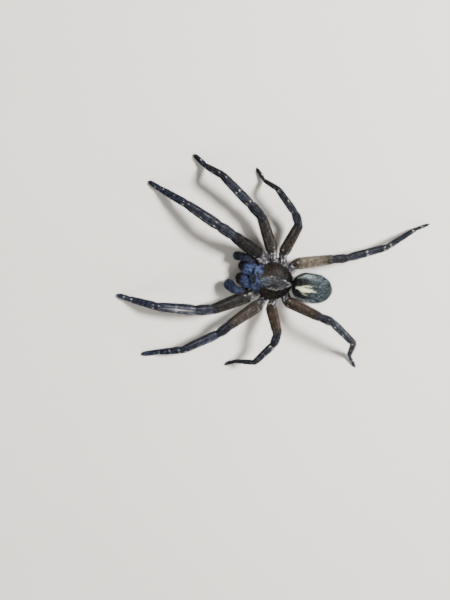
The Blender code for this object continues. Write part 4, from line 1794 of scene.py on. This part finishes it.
@dataclass
class Bare:
    """A new material, its shader, and what every finish feeds into it."""

    material: bpy.types.Material
    tree: bpy.types.NodeTree
    shader: bpy.types.Node

    @classmethod
    def made(cls, name: str, roughness: float, ior: float, **sockets: float) -> "Bare":
        """Makes a material with its shader's constants set.

        Args:
            name: The material's name.
            roughness: The shader's roughness.
            ior: Its index of refraction.
            sockets: Other constants, with spaces as underscores.

        Returns:
            The material.
        """
        material = bpy.data.materials.new(name)
        material.use_nodes = True
        shader = material.node_tree.nodes["Principled BSDF"]
        for key, value in {"Roughness": roughness, "IOR": ior, **sockets}.items():
            shader.inputs[key.replace("_", " ")].default_value = value
        return cls(material, material.node_tree, shader)

    def feed(self, **sockets: bpy.types.NodeSocket) -> None:
        """Links outputs to the shader's sockets, named with spaces as underscores."""
        for key, value in sockets.items():
            self.tree.links.new(value, self.shader.inputs[key.replace("_", " ")])

    def marking(self) -> bpy.types.NodeSocket:
        """The colours that the piece carries on its points."""
        return add(self.tree, "ShaderNodeAttribute", {}, attribute_name="marking").outputs["Color"]

    def grain(self, size_mm: float, detail: float) -> bpy.types.NodeSocket:
        """Adds a noise in the object's own space.

        Args:
            size_mm: The size of one grain.
            detail: How rough the grains' edges are.

        Returns:
            Its strength.
        """
        place = self.tree.nodes.get("Texture Coordinate") or add(self.tree, "ShaderNodeTexCoord", {})
        inputs = {"Vector": place.outputs["Object"], "Scale": 1.0 / (size_mm * MM), "Detail": detail}
        return add(self.tree, "ShaderNodeTexNoise", inputs).outputs["Fac"]

    def fleck(self, size_mm: float, detail: float, dark: float, light: float) -> None:
        """Lays the markings on as base colour, darker and lighter in flecks.

        Args:
            size_mm: One fleck's size.
            detail: How rough its edge is.
            dark: What the darkest flecks do to the colour.
            light: What the lightest do.
        """
        tone = add(self.tree, "ShaderNodeMapRange",
                   {"Value": self.grain(size_mm, detail), 1: 0.3, 2: 0.7, 3: dark, 4: light})
        colour = add(self.tree, "ShaderNodeVectorMath", {0: self.marking(), "Scale": tone.outputs[0]},
                     operation="SCALE")
        self.feed(Base_Color=colour.outputs[0])


@dataclass(frozen=True)
class ChitinHair:
    """Bristles of chitin, grown in a close flat nap: soft from afar, with a fine cold gleam.

    The tufts are coarser than life and hide less of each other from the light, so the gleam is
    turned down to what a close coat gives back. Single hairs are 0.01 mm thick, too fine to show,
    so the flecks that stand for their play of tone are drawn as coarse as they need to be.
    """

    roughness: float = 0.46
    ior: float = 1.56
    gleam: float = 0.09
    fleck_mm: float = 0.35
    # how dark and how light the flecks are
    tones: Pair = (0.70, 1.35)

    def make(self) -> bpy.types.Material:
        """Makes the hair's material.

        Returns:
            The material, with a fleck of darker and lighter tone.
        """
        bare = Bare.made("chitin_hair_in_a_flat_nap", self.roughness, self.ior, Specular_IOR_Level=self.gleam)
        bare.fleck(self.fleck_mm, 2.0, *self.tones)
        return bare.material


@dataclass(frozen=True)
class Cuticle:
    """Cuticle under short hair that lies flat: dull, and streaked along the lie of the hair.

    Single hairs are 0.01 mm thick, too fine to show, so the streaks are drawn coarser.
    """

    name: str
    roughness: float
    ior: float = 1.55
    mottle_mm: float = 0.5
    # how dark and how light the mottle is
    tones: Pair = (0.65, 1.30)
    hair_mm: float = 0.07
    hair_length_mm: float = 0.6
    hair_height_mm: float = 0.05
    relief: float = 0.8
    gleam: float = 0.12

    def make(self, streaked: bool) -> bpy.types.Material:
        """Makes the skin's or the shell's material.

        Args:
            streaked: Whether its mesh has the map that the streaks follow.

        Returns:
            The material.
        """
        bare = Bare.made(self.name, self.roughness, self.ior, Specular_IOR_Level=self.gleam)
        bare.fleck(self.mottle_mm, 3.0, *self.tones)
        if streaked:
            lie = add(bare.tree, "ShaderNodeUVMap", {}, uv_map="lie")
            scale = (1.0 / self.hair_length_mm, 1.0 / self.hair_mm, 1.0)
            along = add(bare.tree, "ShaderNodeMapping", {"Vector": lie.outputs["UV"], "Scale": scale})
            noise = {"Vector": along.outputs[0], "Scale": 1.0, "Detail": 2.0}
            grain = add(bare.tree, "ShaderNodeTexNoise", noise).outputs["Fac"]
        else:
            grain = bare.grain(self.hair_mm, 2.0)
        height = {"Height": grain, "Strength": self.relief, "Distance": self.hair_height_mm * MM}
        bare.feed(Normal=add(bare.tree, "ShaderNodeBump", height).outputs["Normal"])
        return bare.material


@dataclass(frozen=True)
class Horn:
    """Tanned chitin, hard and polished by use: near black with a red-brown root and sharp glints.

    Its scratches are finer than a hundredth of a millimetre and are drawn coarser, to show.
    """

    roughness: float = 0.24
    ior: float = 1.58
    scratch_mm: float = 0.15
    worn: Pair = (0.16, 0.36)

    def make(self) -> bpy.types.Material:
        """Makes the horn's material.

        Returns:
            The material, rougher where it is scratched.
        """
        bare = Bare.made("tanned_chitin_polished", self.roughness, self.ior, Coat_Weight=0.4,
                         Coat_Roughness=0.1)
        smooth, rough = self.worn
        scratched = {"Value": bare.grain(self.scratch_mm, 3.0), 3: smooth, 4: rough}
        rough_map = add(bare.tree, "ShaderNodeMapRange", scratched)
        bare.feed(Base_Color=bare.marking(), Roughness=rough_map.outputs[0])
        return bare.material


@dataclass(frozen=True)
class Lens:
    """The clear domed cuticle of an eye over dark pigment: black, wet-looking, with a brown rim."""

    roughness: float = 0.05
    ior: float = 1.52

    def make(self) -> bpy.types.Material:
        """Makes the eyes' material.

        Returns:
            The material, under a clear coat.
        """
        bare = Bare.made("clear_cuticle_lens", self.roughness, self.ior, Coat_Weight=1.0, Coat_Roughness=0.02)
        bare.feed(Base_Color=bare.marking())
        return bare.material


@dataclass(frozen=True)
class PaintedFloor:
    """A matt painted board: pale, even and dry, so that only the soft shadow shows."""

    colour: str = "#d8d3ca"
    shade: str = "#d2ccc2"
    roughness: float = 0.9
    ior: float = 1.5
    cloud_mm: float = 1000.0 / 12.0

    def make(self) -> bpy.types.Material:
        """Makes the floor's material.

        Returns:
            The material, very slightly cloudy.
        """
        bare = Bare.made("matt_painted_board", self.roughness, self.ior)
        pale, dark = ((*linear(code), 1.0) for code in (self.colour, self.shade))
        tones = {0: bare.grain(self.cloud_mm, 2.0), 6: pale, 7: dark}
        bare.feed(Base_Color=add(bare.tree, "ShaderNodeMix", tones, data_type="RGBA").outputs[2])
        return bare.material


# ---------------------------------------------------------------- studio
@dataclass(frozen=True)
class Lamp:
    """A soft round lamp that looks at the animal. Its place and size are in metres."""

    name: str
    spot: Row
    size: float
    watts: float

    def hang(self) -> None:
        """Hangs the lamp."""
        lamp = bpy.data.lights.new(self.name, "AREA")
        lamp.shape = "DISK"
        lamp.size = self.size
        lamp.energy = self.watts
        item = bpy.data.objects.new(self.name, lamp)
        item.location = self.spot
        item.rotation_mode = "QUATERNION"
        item.rotation_quaternion = (-Vector(self.spot)).to_track_quat("-Z", "Y")
        bpy.context.scene.collection.objects.link(item)


@dataclass
class Studio:
    """The floor, the lights and the camera. Angles are in degrees, lengths in millimetres."""

    lean: float = 15.0
    tip: float = 6.0
    roll: float = 11.0
    distance: float = 320.0
    target: Row = (0.0, 0.0, 6.2)
    slide: Pair = (-16.32, -6.40)
    lens: float = 60.0
    nearest_m: float = 0.005
    floor_m: float = 3.0
    lamps: tuple[Lamp, ...] = (Lamp("key", (-0.30, 0.30, 0.55), 0.15, 16.0),
                               Lamp("fill", (0.45, -0.35, 0.40), 0.50, 3.2),
                               Lamp("rim", (0.15, 0.60, 0.22), 0.30, 2.5))
    room: str = "#ebe9e9"
    room_strength: float = 0.22

    def axes(self) -> tuple[Array, Array, Array]:
        """Works out the camera's directions.

        Returns:
            Its right, its up and its back.
        """
        lean, tip, roll = (math.radians(angle) for angle in (self.lean, self.tip, self.roll))
        back = np.array((-math.sin(lean), -math.sin(tip), 0.0))
        back[2] = math.sqrt(1.0 - back @ back)
        rear = np.array((0.0, 1.0, 0.0))
        level = unit(rear - back * (rear @ back))
        square = np.cross(back, level)
        right = math.cos(roll) * level + math.sin(roll) * square
        return right, math.cos(roll) * square - math.sin(roll) * level, back

    def build(self, frame: Frame, finish: bpy.types.Material) -> None:
        """Builds the studio round the animal.

        Args:
            frame: Where the animal is.
            finish: The floor's material.
        """
        self.place_camera(frame)
        self.lay_floor(finish)
        for lamp in self.lamps:
            lamp.hang()
        self.light_room()

    def place_camera(self, frame: Frame) -> None:
        """Puts the camera over the animal, at the angle it is best known from.

        Args:
            frame: Where the animal is.
        """
        right, up, back = self.axes()
        spot = np.array(self.target) + self.distance * back + self.slide[0] * right + self.slide[1] * up
        camera = bpy.data.objects.new("camera", bpy.data.cameras.new("camera"))
        camera.data.lens = self.lens
        camera.data.clip_start = self.nearest_m
        bpy.context.scene.collection.objects.link(camera)
        turn = Matrix((right, up, back)).transposed().to_4x4()
        camera.matrix_world = Matrix.Translation(Vector(frame.world(spot))) @ turn
        bpy.context.scene.camera = camera

    def lay_floor(self, finish: bpy.types.Material) -> None:
        """Lays the floor, which isn't part of the animal.

        Args:
            finish: Its material.
        """
        corners = np.array(((-1, -1, 0), (1, -1, 0), (1, 1, 0), (-1, 1, 0))) * self.floor_m / 2.0
        shape = Shape(corners, [np.array(((0, 1, 2, 3),))])
        floor = bpy.data.objects.new("floor", shape.mesh("floor", corners))
        floor.data.materials.append(finish)
        bpy.context.scene.collection.objects.link(floor)

    def light_room(self) -> None:
        """Fills the room with pale light."""
        world = bpy.data.worlds.new("room")
        world.use_nodes = True
        ground = world.node_tree.nodes["Background"]
        ground.inputs["Color"].default_value = (*linear(self.room), 1.0)
        ground.inputs["Strength"].default_value = self.room_strength
        bpy.context.scene.world = world


# ---------------------------------------------------------------- the whole animal
@dataclass
class Spider:
    """The animal: all its flesh, shell and hair."""

    frame: Frame
    shell_shade: float = 0.8

    SLOTS = {"leg": "leg_hair", "jaw": "head_hair", "palp": "head_hair", "underside": "coxa_hair",
             "abdomen": "abdomen_hair"}

    @staticmethod
    def groups(legs: list[Leg]) -> dict[str, list[Tube]]:
        """Sorts the flesh into the stretches that are haired as one piece.

        Args:
            legs: The legs.

        Returns:
            The tubes of each stretch.
        """
        groups = {f"leg_{leg.word}": leg.tubes() for leg in legs}
        for side in Side:
            groups[f"jaw_{side.word}"] = Jaw(side).tubes()
            groups[f"palp_{side.word}"] = Palp(side).tubes()
        return {**groups, "underside": Trunk().tubes(), "abdomen": Abdomen().tubes()}

    def build(self) -> None:
        """Builds every piece of the animal."""
        legs = [Leg(side, pair) for side in Side for pair in Leg.PAIRS]
        nodes = [node for leg in legs for node in leg.nodes]
        nodes += [f"{part}_{side.word}" for side in Side for part in ("chelicera", "palp")]
        nodes += ["sternum", "pedicel", "abdomen", "spinnerets"]
        skin = Skin(self.groups(legs))
        ground = skin.build(self.frame, tuple(nodes), Cuticle("cuticle_under_flat_hair", 0.62).make(True))
        shell = self.build_carapace(Carapace())
        horn = Horn().make()
        Eyes().build(self.frame, Lens().make())
        Fangs().build(self.frame, horn)
        Spines().build(self.frame, legs, horn)
        Claws().build(self.frame, legs, horn)
        self.grow_coat(skin, ground, shell)

    def build_carapace(self, carapace: Carapace) -> Ground:
        """Builds the shell over head and thorax.

        Args:
            carapace: Its shape.

        Returns:
            The ground for its hair.
        """
        shape = carapace.shape()
        place = carapace.locate(shape.points)
        finish = Cuticle("horny_shell_under_short_hair", 0.42).make(False)
        colours = Markings().colour(place) * self.shell_shade
        mesh = self.frame.piece("shell", shape, finish, colours, "carapace_hair", ("carapace",))
        triangles = halved(shape.faces[0])
        normals = read(mesh.vertex_normals, "vector", 3)
        return Ground(shape.points, normals, triangles, np.zeros(len(triangles), int), [place.tube],
                      [carapace.locate])

    def grow_coat(self, skin: Skin, ground: Ground, shell: Ground) -> None:
        """Grows the hair of each stretch.

        Args:
            skin: The skin.
            ground: The skin's surface.
            shell: The shell's surface.
        """
        hair, rng, first = ChitinHair().make(), np.random.default_rng(SEED), 0
        for name, tubes in skin.groups.items():
            numbers = range(first, first + len(tubes))
            Coat(f"coat_{name}", ground, numbers, self.SLOTS[name.split("_")[0]]).lay(self.frame, hair, rng)
            first += len(tubes)
        Coat("coat_carapace", shell, range(1), "carapace_hair").lay(self.frame, hair, rng)


def main() -> None:
    """Builds the animal and its studio."""
    logging.basicConfig(level=logging.INFO, format="%(name)s: %(message)s")
    for item in list(bpy.data.objects):
        bpy.data.objects.remove(item, do_unlink=True)
    frame = Frame.load()
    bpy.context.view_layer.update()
    Spider(frame).build()
    Studio().build(frame, PaintedFloor().make())


if __name__ == "__main__":
    main()
